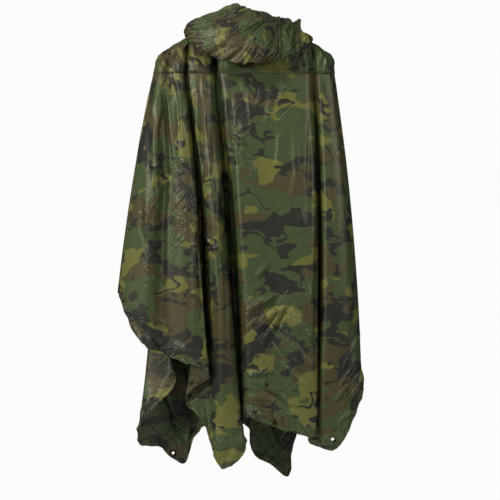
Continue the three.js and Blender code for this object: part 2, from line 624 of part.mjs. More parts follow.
// The hook stands on the hanger's crown and turns over a rod; the inside of its top is the origin.
function hookGeometry() {
  const radius = HOOK_RADIUS + HOOK_WIRE / 2;
  const centre = -HOOK_RADIUS;
  const foot = HANGER_CROWN_Z + SEAM_GAP;
  const points = [new THREE.Vector3(0, 0, foot), new THREE.Vector3(0, 0, foot + HOOK_WIRE)];
  for (const angle of steps(HOOK_ARC.from, HOOK_ARC.to, HOOK_ARC.bends)) {
    const turn = degrees(angle);
    points.push(new THREE.Vector3(radius * Math.cos(turn), 0, centre + radius * Math.sin(turn)));
  }
  return tubeAlong(points, HOOK_WIRE, ROUND_SIDES, HOOK_ARC.steps);
}

function cordRoute(bends) {
  const last = bends.length - 1;
  return steps(0, last, ROUTE_STEPS).map((place) => {
    const index = Math.min(Math.floor(place), last - 1);
    const near = [-1, 0, 1, 2].map((step) => bends[THREE.MathUtils.clamp(index + step, 0, last)]);
    return smoothBetween(near[0], near[1], near[2], near[3], place - index);
  });
}

// Each end hangs over the hood and is stopped by a knot just past the cord's end.
function drawcordPieces() {
  return Object.entries(DRAWCORDS).flatMap(([side, list]) => {
    const points = cordRoute(list.map((bend) => new THREE.Vector3(...bend)));
    const end = points.at(-1);
    const onwards = end.clone().sub(points.at(-2)).normalize();
    const knot = end.clone().addScaledVector(onwards, KNOT_DIAMETER / 2 + SEAM_GAP);
    const ball = new THREE.IcosahedronGeometry(KNOT_DIAMETER / 2, 1).translate(knot.x, knot.y, knot.z);
    const cord = tubeAlong(points, CORD_DIAMETER, ROUND_SIDES, ROUTE_STEPS);
    return [
      { name: `drawcord_${side}`, geometry: cord, material: cordColour() },
      { name: `cord_knot_${side}`, geometry: ball, material: cordColour() },
    ];
  });
}

function hangerPieces() {
  return [
    { name: 'hanger_bar', geometry: hangerGeometry(), material: paint(BEECH, 0.5, 0) },
    { name: 'hanger_hook', geometry: hookGeometry(), material: paint(STEEL, 0.3, 1) },
  ];
}

const pieces = [...hangerPieces(), ...bodyPanels(), ...hoodPieces(), ...drawcordPieces()];
const poncho = new THREE.Group();
for (const { name, geometry, material } of pieces) {
  const mesh = new THREE.Mesh(geometry, material);
  mesh.name = name;
  poncho.add(mesh);
}

export default poncho;
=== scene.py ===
# %% [markdown]
# # A rain poncho on a coat hanger
# The poncho is one big sheet of coated nylon with a hood, thrown over a coat hanger. The numbers below are
# the same ones that the CAD model of the poncho was made from, so the cloth that shows here lies on the cloth
# that the CAD model holds, with finer folds. All lengths in the tables are millimetres, and Blender works in
# metres.

import math

import bmesh
import bpy
import numpy as np
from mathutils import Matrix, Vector


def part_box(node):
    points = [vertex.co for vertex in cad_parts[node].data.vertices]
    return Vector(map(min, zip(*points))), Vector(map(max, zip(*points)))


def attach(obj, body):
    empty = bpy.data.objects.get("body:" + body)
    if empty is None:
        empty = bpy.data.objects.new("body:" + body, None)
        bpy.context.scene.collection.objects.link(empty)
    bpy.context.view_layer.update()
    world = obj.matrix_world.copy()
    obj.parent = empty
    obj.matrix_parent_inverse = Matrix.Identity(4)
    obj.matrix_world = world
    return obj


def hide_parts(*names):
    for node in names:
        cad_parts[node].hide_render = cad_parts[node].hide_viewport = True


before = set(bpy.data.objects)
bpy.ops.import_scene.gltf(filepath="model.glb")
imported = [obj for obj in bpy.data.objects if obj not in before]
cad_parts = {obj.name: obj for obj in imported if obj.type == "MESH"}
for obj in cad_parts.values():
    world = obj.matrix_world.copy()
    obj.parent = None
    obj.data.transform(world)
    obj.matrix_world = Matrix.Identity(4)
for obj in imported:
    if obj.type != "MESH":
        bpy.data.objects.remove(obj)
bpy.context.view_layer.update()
MM = 0.001

# %% [markdown]
# ## Small helpers
# A colour picked from a photograph is an sRGB value, while Blender's shaders want linear light, so one
# function turns the one into the other. Another adds a node together with its settings and links, which keeps
# the materials below short enough to read. Where an input is given a whole node, the node's first output is
# linked.

# %% Helpers for colours, nodes and objects
def linear(hex_colour):
    values = [int(hex_colour[i:i + 2], 16) / 255 for i in (1, 3, 5)]
    return [v / 12.92 if v <= 0.04045 else ((v + 0.055) / 1.055) ** 2.4 for v in values] + [1.0]


def set_inputs(node, inputs):
    """Links an input to the node or the output that it is given, and sets it to any other value."""
    for key, value in inputs.items():
        source = value.outputs[0] if isinstance(value, bpy.types.Node) else value
        if isinstance(source, bpy.types.NodeSocket):
            node.id_data.links.new(source, node.inputs[key])
        else:
            node.inputs[key].default_value = value


def add_node(tree, kind, inputs=None, **settings):
    made = tree.nodes.new(kind)
    for name, value in settings.items():
        setattr(made, name, value)
    set_inputs(made, inputs or {})
    return made


def new_material(name, inputs):
    """A new material, its node tree and its shader, with the shader's inputs set."""
    material = bpy.data.materials.new(name)
    material.use_nodes = True
    shader = material.node_tree.nodes["Principled BSDF"]
    set_inputs(shader, inputs)
    print("material:", name)
    return material, material.node_tree, shader


def to_scene(name, data):
    made = bpy.data.objects.new(name, data)
    bpy.context.scene.collection.objects.link(made)
    return made


def mesh_object(name, vertices, faces, material):
    mesh = bpy.data.meshes.new(name)
    mesh.from_pydata(vertices, [], faces)
    mesh.polygons.foreach_set("use_smooth", [True] * len(mesh.polygons))
    mesh.materials.append(material)
    return to_scene(name, mesh)

# %% [markdown]
# ## Camera
# The photograph was taken from straight in front, level with the poncho's middle. A long lens from four
# metres keeps the shoulders and the hem at the same scale, as in the photograph.

# %% Camera
CAMERA_PLACE = (0.0124, -4.2, -0.6586)
LENS, SENSOR_WIDTH = 110, 36
camera = to_scene("camera", bpy.data.cameras.new("camera"))
camera.location = CAMERA_PLACE
camera.rotation_euler = (math.radians(90), 0, 0)
camera.data.lens = LENS
camera.data.sensor_width = SENSOR_WIDTH
bpy.context.scene.camera = camera
print("camera at", CAMERA_PLACE, "with a lens of", LENS, "mm")

# %% [markdown]
# ## Drawcord
# The cord that closes the hood leaves the face edge in front of the hood and hangs down over the slumped
# cloth, one end on each side, each with a knot. A curve with a round bevel is the natural way to make a cord.
# The braid is too fine to model, so slanted waves in the bump stand for its threads.

# %% Braided polyester cord
braid, tree, shader = new_material("braided polyester cord, dull olive",
                                   {"Base Color": linear("#33372a"), "Roughness": 0.8})
place = add_node(tree, "ShaderNodeTexCoord").outputs["Object"]
# The threads of a 4 mm cord cross about every 1.5 mm.
threads = add_node(tree, "ShaderNodeTexWave", {"Vector": place, "Scale": 210.0, "Distortion": 1.5},
                   bands_direction="DIAGONAL")
bump = add_node(tree, "ShaderNodeBump", {"Height": threads.outputs["Fac"], "Distance": 0.0004,
                                         "Strength": 0.8})
set_inputs(shader, {"Normal": bump})

# %% Drawcord sizes
CORD_DIAMETER, CORD_STEPS = 4, 20
# A knot's loops are a third of the knot thick, and run as far from its middle.
KNOT_DIAMETER, KNOT_GAP = 9, 0.3
KNOT_THIRD = KNOT_DIAMETER / 3 * MM
# Each row is x, y and z of one bend of the cord.
DRAWCORDS = {
    "left": [(73.4, -48.6, -31), (74.5, -57.4, -42), (75.5, -66.2, -54), (78, -71.4, -66),
             (82, -76.4, -78), (85, -81.8, -92), (86, -87.6, -106), (85, -90, -118), (82, -92.2, -129),
             (76, -93.8, -137), (70, -95, -143)],
    "right": [(93.2, -45.4, -31), (93.2, -52.8, -42), (93.4, -57.6, -54), (93.6, -65.2, -66),
              (94, -74.2, -80), (94.4, -82.2, -94), (95, -87.8, -106), (94.5, -90, -118),
              (92, -91.6, -128), (87, -92, -136), (82, -92.4, -142)],
}

# %% Helpers for curves
def smooth_weights(share):
    """Weights of four points in a row for a smooth curve that goes through the middle two."""
    square, cube = share ** 2, share ** 3
    return [(-cube + 2 * square - share) / 2, (3 * cube - 5 * square + 2) / 2,
            (-3 * cube + 4 * square + share) / 2, (cube - square) / 2]


def cord_route(bends, steps):
    bends = np.array(bends, float)
    last = len(bends) - 1
    route = []
    for place in np.linspace(0, last, steps + 1):
        index = min(int(place), last - 1)
        near = [bends[min(max(index + step, 0), last)] for step in (-1, 0, 1, 2)]
        route.append(sum(w * p for w, p in zip(smooth_weights(place - index), near)))
    return np.array(route) * MM


def curve_data(name, lines, cyclic=False):
    data = bpy.data.curves.new(name, "CURVE")
    data.dimensions = "3D"
    for points in lines:
        spline = data.splines.new("POLY")
        spline.points.add(len(points) - 1)
        weighted = np.column_stack([points, np.ones(len(points))])
        spline.points.foreach_set("co", weighted.astype(np.float32).ravel())
        spline.use_cyclic_u = cyclic
    return data


def round_curve(name, points, diameter, material, cyclic=False):
    data = curve_data(name, [points], cyclic)
    data.bevel_depth = diameter / 2
    data.bevel_resolution = 4
    data.use_fill_caps = not cyclic
    data.materials.append(material)
    return to_scene(name, data)


def as_mesh(curve):
    """Puts a plain mesh in place of a curve and its modifiers."""
    evaluated = curve.evaluated_get(bpy.context.evaluated_depsgraph_get())
    mesh = bpy.data.meshes.new_from_object(evaluated)
    mesh.polygons.foreach_set("use_smooth", [True] * len(mesh.polygons))
    name = curve.name
    bpy.data.objects.remove(curve)
    return to_scene(name, mesh)

# %% Drawcord ends
def knot_path(centre):
    """A trefoil, which is the path of a simple overhand knot pulled tight."""
    turn = np.linspace(0, 2 * np.pi, 72, endpoint=False)
    path = np.column_stack([np.sin(turn) + 2 * np.sin(2 * turn), -np.sin(3 * turn) * 1.5,
                            np.cos(turn) - 2 * np.cos(2 * turn)])
    return centre + path / 3 * KNOT_THIRD


for side, bends in DRAWCORDS.items():
    route = cord_route(bends, CORD_STEPS)
    cord = round_curve(f"drawcord_{side}_end", route, CORD_DIAMETER * MM, braid)
    onwards = (route[-1] - route[-2]) / np.linalg.norm(route[-1] - route[-2])
    centre = route[-1] + onwards * (KNOT_DIAMETER / 2 + KNOT_GAP) * MM
    knot = as_mesh(round_curve(f"drawcord_{side}_knot", knot_path(centre), KNOT_THIRD, braid, cyclic=True))
    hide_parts(f"drawcord_{side}")
    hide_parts(f"cord_knot_{side}")
    for piece in (cord, knot):
        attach(piece, "root")

# %% [markdown]
# ## The folds
# The cloth below the shoulder seam is one ring of folds. Each row of the tables says where one fold stands at
# the seam, half way down and at the hem, and how low the cloth hangs there. A smooth curve through
# neighbouring folds gives every point between them, so a few numbers per fold shape the whole garment.

# %% Fold tables
# Columns: x and y at the seam, x and y half way down, x and y at the hem, and the hem's height.
FRONT_FOLDS = [
    (-252, -6, -309, -13, -345, -14, -785),     # left side
    (-243, -20, -289, -42, -314, -44, -862),    # wing round
    (-228, -30, -254, -68, -263, -62, -924),    # wing ridge
    (-211, -22, -219, -40, -213, -46, -946),    # wing hollow
    (-192, -30, -177, -62, -153, -66, -968),    # wing second ridge
    (-173, -31, -133, -62, -100, -62, -997),    # wing tip
    (-166, -14, -127, 6, -166, -20, -1068),     # deep pleat one
    (-160, -18, -108, -26, -106, -20, -1140),   # behind the column
    (-153, -31, -98, -52, -87, -46, -1216),     # column left
    (-129, -39, -78, -74, -54, -62, -1252),     # column ridge
    (-98, -35, -55, -56, -3, -50, -1204),       # column right
    (-82, -13, -36, 8, -16, -6, -1146),         # deep pleat two
    (-67, -34, -16, -61, 4, -62, -1116),        # centre left
    (-21, -43, 23, -67, 51, -70, -1127),        # centre one
    (45, -45, 73, -61, 106, -64, -1146),        # centre two
    (111, -43, 128, -67, 153, -68, -1159),      # centre three
    (166, -35, 189, -56, 194, -58, -1165),      # centre right
    (188, -20, 200, 3, 172, -28, -1172),        # pleat three
    (199, -31, 212, -48, 197, -48, -1194),      # right wing inner
    (216, -29, 243, -54, 240, -52, -1199),      # front corner
    (233, -21, 276, -42, 280, -46, -1144),      # right wing
    (244, -4, 295, -12, 318, -14, -1040),       # right side
    (242, 8, 285, 14, 296, 22, -915),           # right behind
    (238, 16, 266, 30, 268, 38, -775),          # right strip edge
]
BACK_FOLDS = [
    (228, 24, 250, 46, 250, 54, -770),          # right strip edge
    (212, 34, 228, 68, 226, 72, -906),          # right ridge
    (194, 26, 200, 32, 190, 38, -1057),         # right pleat
    (176, 36, 172, 68, 140, 60, -1180),         # tail outer
    (152, 32, 140, 48, 122, 42, -1284),         # tail corner
    (118, 42, 102, 72, 74, 62, -1260),          # tail ridge
    (80, 34, 62, 50, 25, 44, -1226),            # tail inner
    (44, 27, 30, 28, 8, 32, -1158),             # middle pleat
    (0, 44, -6, 72, -30, 68, -1138),            # middle ridge
    (-46, 36, -52, 50, -84, 52, -1136),         # middle left
    (-84, 27, -94, 28, -124, 32, -1154),        # left pleat
    (-112, 40, -124, 64, -147, 58, -1190),      # left ridge
    (-136, 40, -148, 68, -168, 56, -1250),      # back corner
    (-152, 38, -170, 66, -206, 50, -1236),      # corner fold
    (-168, 32, -190, 52, -240, 34, -1201),      # corner outer
    (-186, 34, -218, 44, -286, 12, -1195),      # under left
    (-203, 32, -240, 44, -294, -2, -1150),      # left turn
    (-218, 27, -259, 38, -264, -12, -1104),     # forward layer
    (-231, 22, -277, 31, -190, -20, -1013),     # forward tip
    (-242, 15, -295, 24, -256, 4, -890),        # forward back
    (-250, 8, -308, 14, -344, 12, -787),        # left strip edge
]
SEAM_Z = -172
# The yoke laps over the panels by this share of their length, about 5 mm.
LAP_SHARE = 0.005
# The cloth's side edge lies this share of a fold inside the first and the last fold.
EDGE_SHARE = 0.012
ALL_FOLDS = np.array(FRONT_FOLDS + BACK_FOLDS, float)
FRONT_END = len(FRONT_FOLDS) - 1
BACK_START = len(FRONT_FOLDS)
BACK_END = len(ALL_FOLDS) - 1
print(len(ALL_FOLDS), "folds round the garment")

# %% Points between the folds
def through_three(top, middle, hem, down):
    """The curve through three values that stand at 0, 0.5 and 1."""
    return top * (1 - down) * (1 - 2 * down) + middle * 4 * down * (1 - down) + hem * down * (2 * down - 1)


def cloth_grid(around, down):
    """Points of the hanging cloth, one row for each value of down, from 0 at the seam to 1 at the hem."""
    around, down = np.asarray(around, float), np.asarray(down, float)[:, None]
    index = np.floor(around).astype(int)
    points = 0
    for step, weight in zip((-1, 0, 1, 2), smooth_weights(around - index)):
        top_x, top_y, mid_x, mid_y, hem_x, hem_y, hem_z = ALL_FOLDS[(index + step) % len(ALL_FOLDS)].T
        fold = np.stack([through_three(top_x, mid_x, hem_x, down), through_three(top_y, mid_y, hem_y, down),
                         SEAM_Z + (hem_z - SEAM_Z) * down], axis=-1)
        points = points + weight[:, None] * fold
    return points

# %% [markdown]
# ## The shoulders
# Above the seam, the centre panel runs from the neck hole over the hanger's sloping arms and bends down to
# the seam. Each column of points follows a line, a rounded bend and a second line.

# %% Shoulders
NECK_HALF_WIDTH, NECK_HALF_DEPTH = 140, 50
NECK_SIDE_Z, NECK_FRONT_Z, NECK_BACK_Z = -58, -114, -82
SHOULDER_TIP_X, SHOULDER_TIP_Z = 241, -126
SHOULDER_ROUNDING, RIDGE_ROUNDNESS = 16, 40
# The bend over the shoulders lies at these shares of the seam's x and y, and takes up these of the rows.
BEND_X, BEND_Y = 0.97, 0.9
BEND_START, BEND_END = 0.5, 0.82
SLOPE = (SHOULDER_TIP_Z - NECK_SIDE_Z) / (SHOULDER_TIP_X - NECK_HALF_WIDTH)


def ridge_height(x):
    return NECK_SIDE_Z + SLOPE * np.maximum(0, np.abs(x) - NECK_HALF_WIDTH)


def between(start, end, share):
    return start + (end - start) * share


def faded(value, none, full):
    """0 where the value is at none or before it, 1 where it is at full or past it."""
    return np.clip((value - none) / (full - none), 0, 1)


def yoke_grid(around, down):
    seam = cloth_grid(around, [0])[0]
    turn = np.clip(seam[:, 0] / (SHOULDER_TIP_X + 6), -1, 1) * np.pi / 2
    in_front = seam[:, 1] < 0
    side = np.abs(np.sin(turn)) ** 3
    neck_z = side * NECK_SIDE_Z + (1 - side) * np.where(in_front, NECK_FRONT_Z, NECK_BACK_Z)
    neck_y = np.where(in_front, -1, 1) * NECK_HALF_DEPTH * np.cos(turn)
    neck = np.stack([NECK_HALF_WIDTH * np.sin(turn), neck_y, neck_z], axis=-1)
    bend_x = seam[:, 0] * BEND_X
    bend_z = np.minimum(ridge_height(bend_x) - seam[:, 1] ** 2 / RIDGE_ROUNDNESS, neck_z - 5)
    bend = np.stack([bend_x, seam[:, 1] * BEND_Y, bend_z], axis=-1)
    lap = cloth_grid(around, [LAP_SHARE])[0]
    first = np.linalg.norm(neck - bend, axis=1)[:, None]
    second = np.linalg.norm(bend - lap, axis=1)[:, None]
    rounding = np.minimum(SHOULDER_ROUNDING, np.minimum(first * 0.6, second * 0.6))
    start_bend = between(bend, neck, rounding / first)
    end_bend = between(bend, lap, rounding / second)
    rows = []
    for share in down:
        if share <= BEND_START:
            rows.append(between(neck, start_bend, share / BEND_START))
        elif share >= BEND_END:
            rows.append(between(end_bend, lap, (share - BEND_END) / (1 - BEND_END)))
        else:
            s = (share - BEND_START) / (BEND_END - BEND_START)
            rows.append(start_bend * (1 - s) ** 2 + bend * 2 * s * (1 - s) + end_bend * s ** 2)
    return np.array(rows)

# %% [markdown]
# ## The hood
# The hood has slumped into a soft roll around the neck. It is a stack of rings from the neck seam over the
# roll to the face edge, with long drag folds running over it.

# %% Hood tables
# Columns: left, right, front, back, then the height at the left, right, front and back.
HOOD_RINGS = np.array([
    (-140, 140, -50, 50, -57, -57, -113, -81),     # seam
    (-142, 143, -57, 54, -47, -49, -106, -73),     # stand
    (-156, 168, -76, 66, -60, -68, -134, -94),     # under the roll
    (-165, 184, -94, 76, -66, -82, -152, -106),    # roll
    (-166, 183, -100, 78, -52, -74, -124, -86),    # over the roll
    (-152, 170, -90, 70, -36, -65, -92, -58),      # slump
    (-122, 157, -76, 58, -22, -60, -62, -34),      # gather
    (-66, 149, -55, 44, 0, -46, -28, -16),         # channel
    (-22, 145, -40, 32, 14, -27, -4, -3),          # face edge
], float)
# Columns: where round the hood the fold lies in degrees, its turn on the way up, its width and its height.
HOOD_FOLDS = [
    (-150, 40, 9, 6), (-125, 48, 8, -7), (-104, 40, 9, 7), (-82, 30, 8, -6), (-60, 14, 9, 6),
    (-30, -10, 10, -6), (40, 20, 14, 6), (85, -14, 14, -6), (130, -20, 13, 6),
]
# Columns: turn, width in degrees and depth of each dip of the face edge.
FACE_DIPS = [(-70, 30, 22), (-33, 10, 24), (55, 30, 24)]
# The folds start at the first share of the way up, and the dips at the second.
ROLL_START, DIP_START = 0.3, 0.45
print(len(HOOD_RINGS), "rings and", len(HOOD_FOLDS), "main folds in the hood")

# %% Points of the hood
def angle_apart(a, b):
    """The angle between two directions in degrees, from 0 to 180."""
    return np.abs(((a - b + 540) % 360) - 180)


def hood_grid(turns, ups):
    turn, up = np.meshgrid(np.asarray(turns, float), np.asarray(ups, float))
    cos, sin = np.cos(np.radians(turn)), np.sin(np.radians(turn))
    place = up * (len(HOOD_RINGS) - 1)
    index = np.minimum(np.floor(place).astype(int), len(HOOD_RINGS) - 2)
    points = 0
    for step, weight in zip((-1, 0, 1, 2), smooth_weights(place - index)):
        ring = HOOD_RINGS[np.clip(index + step, 0, len(HOOD_RINGS) - 1)]
        left, right, front, back, z_left, z_right, z_front, z_back = np.moveaxis(ring, -1, 0)
        side = np.abs(cos) ** 3
        z = np.where(cos < 0, z_left, z_right) * side + np.where(sin < 0, z_front, z_back) * (1 - side)
        x = (left + right) / 2 + (right - left) / 2 * cos
        y = np.where(sin < 0, -front * sin, back * sin)
        points = points + weight[..., None] * np.stack([x, y, z], axis=-1)
    swell = np.sin(np.pi * faded(up, ROLL_START, 1)) ** 0.7
    for at, slant, width, height in HOOD_FOLDS:
        lift = height * swell * np.exp(-(angle_apart(turn, at + slant * up) / width) ** 2)
        points[..., 0] += lift * cos
        points[..., 1] += lift * sin
    towards_edge = faded(up, DIP_START, 1)
    for at, width, depth in FACE_DIPS:
        points[..., 2] -= depth * np.exp(-(angle_apart(turn, at) / width) ** 2) * towards_edge ** 1.5
    return points

# %% [markdown]
# ## Creases
# Coated nylon doesn't drape like wool: it keeps sharp creases from being packed away. The main ones are
# listed, one row for each, as soft ridges and troughs of uneven length, depth and spacing. Seeded
# noise adds the small crumples between them, in the places where the cloth is pulled.

# %% Noise and crease helpers
LATTICE = 97


def soft_noise(a, b, seed):
    """Smooth seeded noise from -1 to 1 with one lattice cell to each unit of a and b."""
    lattice = np.random.default_rng(seed).uniform(-1, 1, (LATTICE, LATTICE))
    i, j = np.floor(a).astype(int), np.floor(b).astype(int)
    s, t = a - i, b - j
    s, t = s * s * (3 - 2 * s), t * t * (3 - 2 * t)
    near = [[lattice[(i + di) % LATTICE, (j + dj) % LATTICE] for dj in (0, 1)] for di in (0, 1)]
    return (near[0][0] * (1 - s) * (1 - t) + near[1][0] * s * (1 - t)
            + near[0][1] * (1 - s) * t + near[1][1] * s * t)


def ridges(a, b, seed):
    """Noise with sharp ridges, from -1 in its hollows to 1 on its crests."""
    return 1 - 2 * np.abs(soft_noise(a, b, seed))


def crumples(x, z, rows):
    """Adds up layers of ridged noise, whose cells lean over. The tables of layers say what a row holds."""
    return sum(height * ridges(x / across + z / lean, z / down + x / tilt, seed)
               for height, across, lean, down, tilt, seed in rows)


def crease_lift(x, z, creases):
    """Height that the creases add. Each one runs from a to b and is higher in its middle."""
    lift = np.zeros_like(x)
    for number, (ax, az, bx, bz, width, height) in enumerate(creases):
        length = math.hypot(bx - ax, bz - az)
        along = ((x - ax) * (bx - ax) + (z - az) * (bz - az)) / length ** 2
        off = ((x - ax) * (bz - az) - (z - az) * (bx - ax)) / length
        off = off + soft_noise(along * 3 + number, along * 0 + number, 11) * width * 0.8
        taper = np.clip(4 * along * (1 - along), 0, 1) ** 0.7
        ridge = 1.5 * np.exp(-np.abs(off / width) ** 1.2)
        trough = 0.7 * np.exp(-((off / width - 1.8) ** 2))
        lift += height * taper * (ridge - trough)
    return lift


# Even the smoothest cloth has this share of the small creases.
SMOOTH_SHARE = 0.03


def zone_shares(x, z, zones):
    """How many small creases rise and how many fall at each point, from the listed oval zones."""
    rising = falling = np.full(x.shape, SMOOTH_SHARE)
    for cx, cz, rx, rz, up, down in zones:
        near = np.exp(-(((x - cx) / rx) ** 2 + ((z - cz) / rz) ** 2))
        rising, falling = np.maximum(rising, up * near), np.maximum(falling, down * near)
    return rising, falling

# %% Crease tables
# Columns: x and z of one end, x and z of the other end, width and height of the ridge. Millimetres.
FRONT_CREASES = [
    (-221, -188, -192, -420, 6, 5), (-185, -182, -171, -385, 6, 5), (-243, -215, -249, -300, 7, 3),
    (-221, -270, -230, -372, 6, -3), (-204, -180, -196, -262, 5, -4), (-150, -185, -163, -290, 7, 3),
    (-118, -170, -106, -330, 5, 3), (-100, -330, -90, -520, 6, 3), (-215, -440, -238, -520, 7, 3),
    (-190, -420, -150, -446, 6, -4), (-262, -430, -215, -455, 7, 4), (-145, -560, -110, -640, 6, 4),
    (-135, -595, -78, -660, 4, 5), (-128, -652, -70, -640, 5, -5), (-240, -930, -190, -975, 5, 4),
    (-262, -860, -215, -905, 4, 4), (-236, -846, -205, -880, 4, 3), (-270, -520, -262, -640, 7, 3),
    (-8, -190, 20, -300, 6, 3), (12, -176, 14, -330, 5, 3), (46, -205, 26, -300, 5, 4),
    (78, -205, 50, -330, 5, 3), (104, -190, 84, -300, 5, 3), (96, -330, 80, -440, 5, 4),
    (-14, -300, -2, -430, 6, 4), (-24, -330, 12, -420, 4, 4), (-2, -390, 24, -460, 4, 4),
    (140, -330, 130, -520, 8, 4), (170, -300, 165, -620, 6, -4), (120, -500, 160, -600, 5, 4),
    (-5, -838, 90, -770, 5, 7), (0, -826, 62, -786, 4, 6), (10, -845, 110, -800, 5, -5),
    (20, -890, 88, -812, 5, 6), (36, -925, 118, -795, 5, 7), (30, -740, 62, -690, 5, 5),
    (128, -822, 176, -915, 5, 6), (112, -815, 160, -905, 4, 5), (100, -850, 178, -960, 6, -5),
    (66, -880, 150, -985, 5, 5), (150, -700, 186, -850, 6, 5), (140, -760, 172, -840, 4, 5),
    (8, -1003, 70, -984, 5, 6), (20, -1010, 100, -1050, 5, 5), (60, -1030, 150, -1085, 6, 5),
    (0, -1075, 90, -1105, 7, -5), (14, -1050, 80, -1068, 6, 5), (96, -960, 168, -1040, 6, 5),
    (262, -985, 302, -900, 4, 4), (252, -1035, 306, -950, 4, 5), (268, -1060, 312, -990, 4, 5),
    (240, -1075, 286, -1020, 4, 4), (300, -940, 316, -880, 5, 3), (250, -1125, 296, -1090, 5, 4),
    (-86, -1130, -60, -1225, 6, 4), (-44, -1120, -30, -1215, 6, 4), (-70, -700, -56, -960, 8, 3),
    (-124, -240, -121, -900, 6, -11), (-36, -220, -34, -930, 7, -11), (200, -280, 196, -1010, 7, -5),
    (-78, -240, -74, -720, 9, 4), (-246, -320, -236, -560, 8, 4),
]
BACK_CREASES = [
    (206, -190, 196, -420, 7, 5), (150, -182, 160, -400, 6, 4), (96, -185, 84, -430, 7, 5),
    (20, -180, 30, -390, 6, 4), (-30, -190, -46, -460, 7, 5), (-104, -185, -96, -400, 6, 4),
    (-150, -190, -170, -420, 7, 4), (196, -640, 120, -760, 6, 6), (180, -690, 110, -790, 5, 5),
    (60, -620, -10, -720, 6, 5), (40, -700, -50, -790, 5, 6), (-20, -860, 60, -960, 6, 5),
    (-70, -900, 10, -1010, 5, 6), (110, -960, 170, -1080, 6, 5), (90, -1040, 130, -1180, 6, 5),
    (-120, -640, -190, -760, 6, 5), (-150, -780, -230, -900, 6, 6), (-170, -980, -120, -1120, 6, 5),
    (-230, -1010, -190, -1160, 6, 5), (220, -420, 232, -620, 8, 4), (-200, -440, -230, -640, 8, 4),
    (70, -1110, 100, -1220, 5, 5), (-60, -1040, -20, -1120, 6, 4), (-130, -1090, -160, -1200, 5, 5),
]
YOKE_CREASES = [
    (-236, -120, -216, -176, 6, 4), (-214, -104, -200, -174, 5, 4), (-190, -98, -196, -176, 5, -4),
    (-168, -86, -176, -176, 6, 4), (-150, -100, -120, -160, 6, 5), (-140, -110, -112, -166, 5, -4),
    (150, -110, 172, -174, 6, 5), (176, -100, 186, -176, 6, -4), (204, -110, 200, -176, 6, 4),
    (224, -122, 216, -176, 5, 4), (96, -140, 120, -172, 6, 3), (-90, -140, -104, -172, 6, 3),
]
# Columns: x and z of the middle, half width, half height, then how many small creases rise to the right there
# and how many fall to the right.
FRONT_ZONES = [
    (-251, -631, 24, 150, 0.7, 0.9), (-166, -576, 34, 100, 0.8, 0.6), (-258, -880, 46, 50, 0.6, 0.9),
    (-248, -432, 30, 40, 0.3, 0.9), (-194, -430, 36, 26, 0.7, 0.4), (-120, -640, 24, 160, 0.5, 0.3),
    (-16, -342, 40, 90, 0.9, 0.8), (78, -260, 50, 90, 0.6, 0.7), (150, -600, 50, 170, 0.25, 0.2),
    (70, -820, 80, 90, 1.0, 0.1), (150, -930, 44, 100, 0.1, 1.0), (45, -1000, 50, 24, 0.8, 0.3),
    (70, -960, 60, 70, 0.5, 0.6), (80, -1115, 90, 44, 0.8, 0.9), (285, -1050, 40, 90, 0.9, 0.1),
    (245, -1180, 50, 34, 0.8, 0.8), (-50, -1200, 50, 50, 0.6, 0.6), (-170, -950, 60, 40, 0.6, 0.3),
]
BACK_ZONES = [
    (150, -740, 80, 130, 0.3, 0.9), (10, -760, 90, 130, 0.9, 0.4), (-170, -820, 90, 130, 0.5, 0.8),
    (30, -960, 90, 90, 0.8, 0.2), (120, -1120, 80, 120, 0.6, 0.9), (-170, -1130, 90, 110, 0.9, 0.7),
    (0, -300, 160, 80, 0.4, 0.5), (190, -420, 50, 140, 0.2, 0.6), (-240, -1180, 60, 40, 0.9, 0.9),
    (120, -1260, 50, 40, 0.9, 0.9),
]
print(len(FRONT_CREASES) + len(BACK_CREASES) + len(YOKE_CREASES), "creases placed by hand")

# %% [markdown]
# ## From points to cloth
# A grid of points becomes a mesh with two extra things for the material: a UV map in real metres of cloth, so
# that the print and the weave keep their size, and two values for each point that say how many small creases
# rise and fall there. Solidify then gives the thin wall, with the inside of the cloth as a second material.

# %% Cloth maker
# The wall in millimetres, and the width in metres of the cell that closes a ring.
WALL, CLOSING_CELL = 0.6, 0.004


def grid_normals(grid):
    across = np.gradient(grid, axis=1)
    down = np.gradient(grid, axis=0)
    normal = np.cross(down, across)
    return normal / np.maximum(np.linalg.norm(normal, axis=-1, keepdims=True), 1e-9)


def arc_lengths(points):
    """Length from the first point to each one, down the rows of a grid or along a line."""
    steps = np.linalg.norm(np.diff(points, axis=0), axis=-1)
    return np.concatenate([np.zeros_like(steps[:1]), np.cumsum(steps, axis=0)])


def cloth_uv(width, height, shift):
    """The flat place of each point in metres. The shift says which part of the print lies there."""
    return np.stack(np.broadcast_arrays(width[None, :] * MM + shift, height * MM), axis=-1)


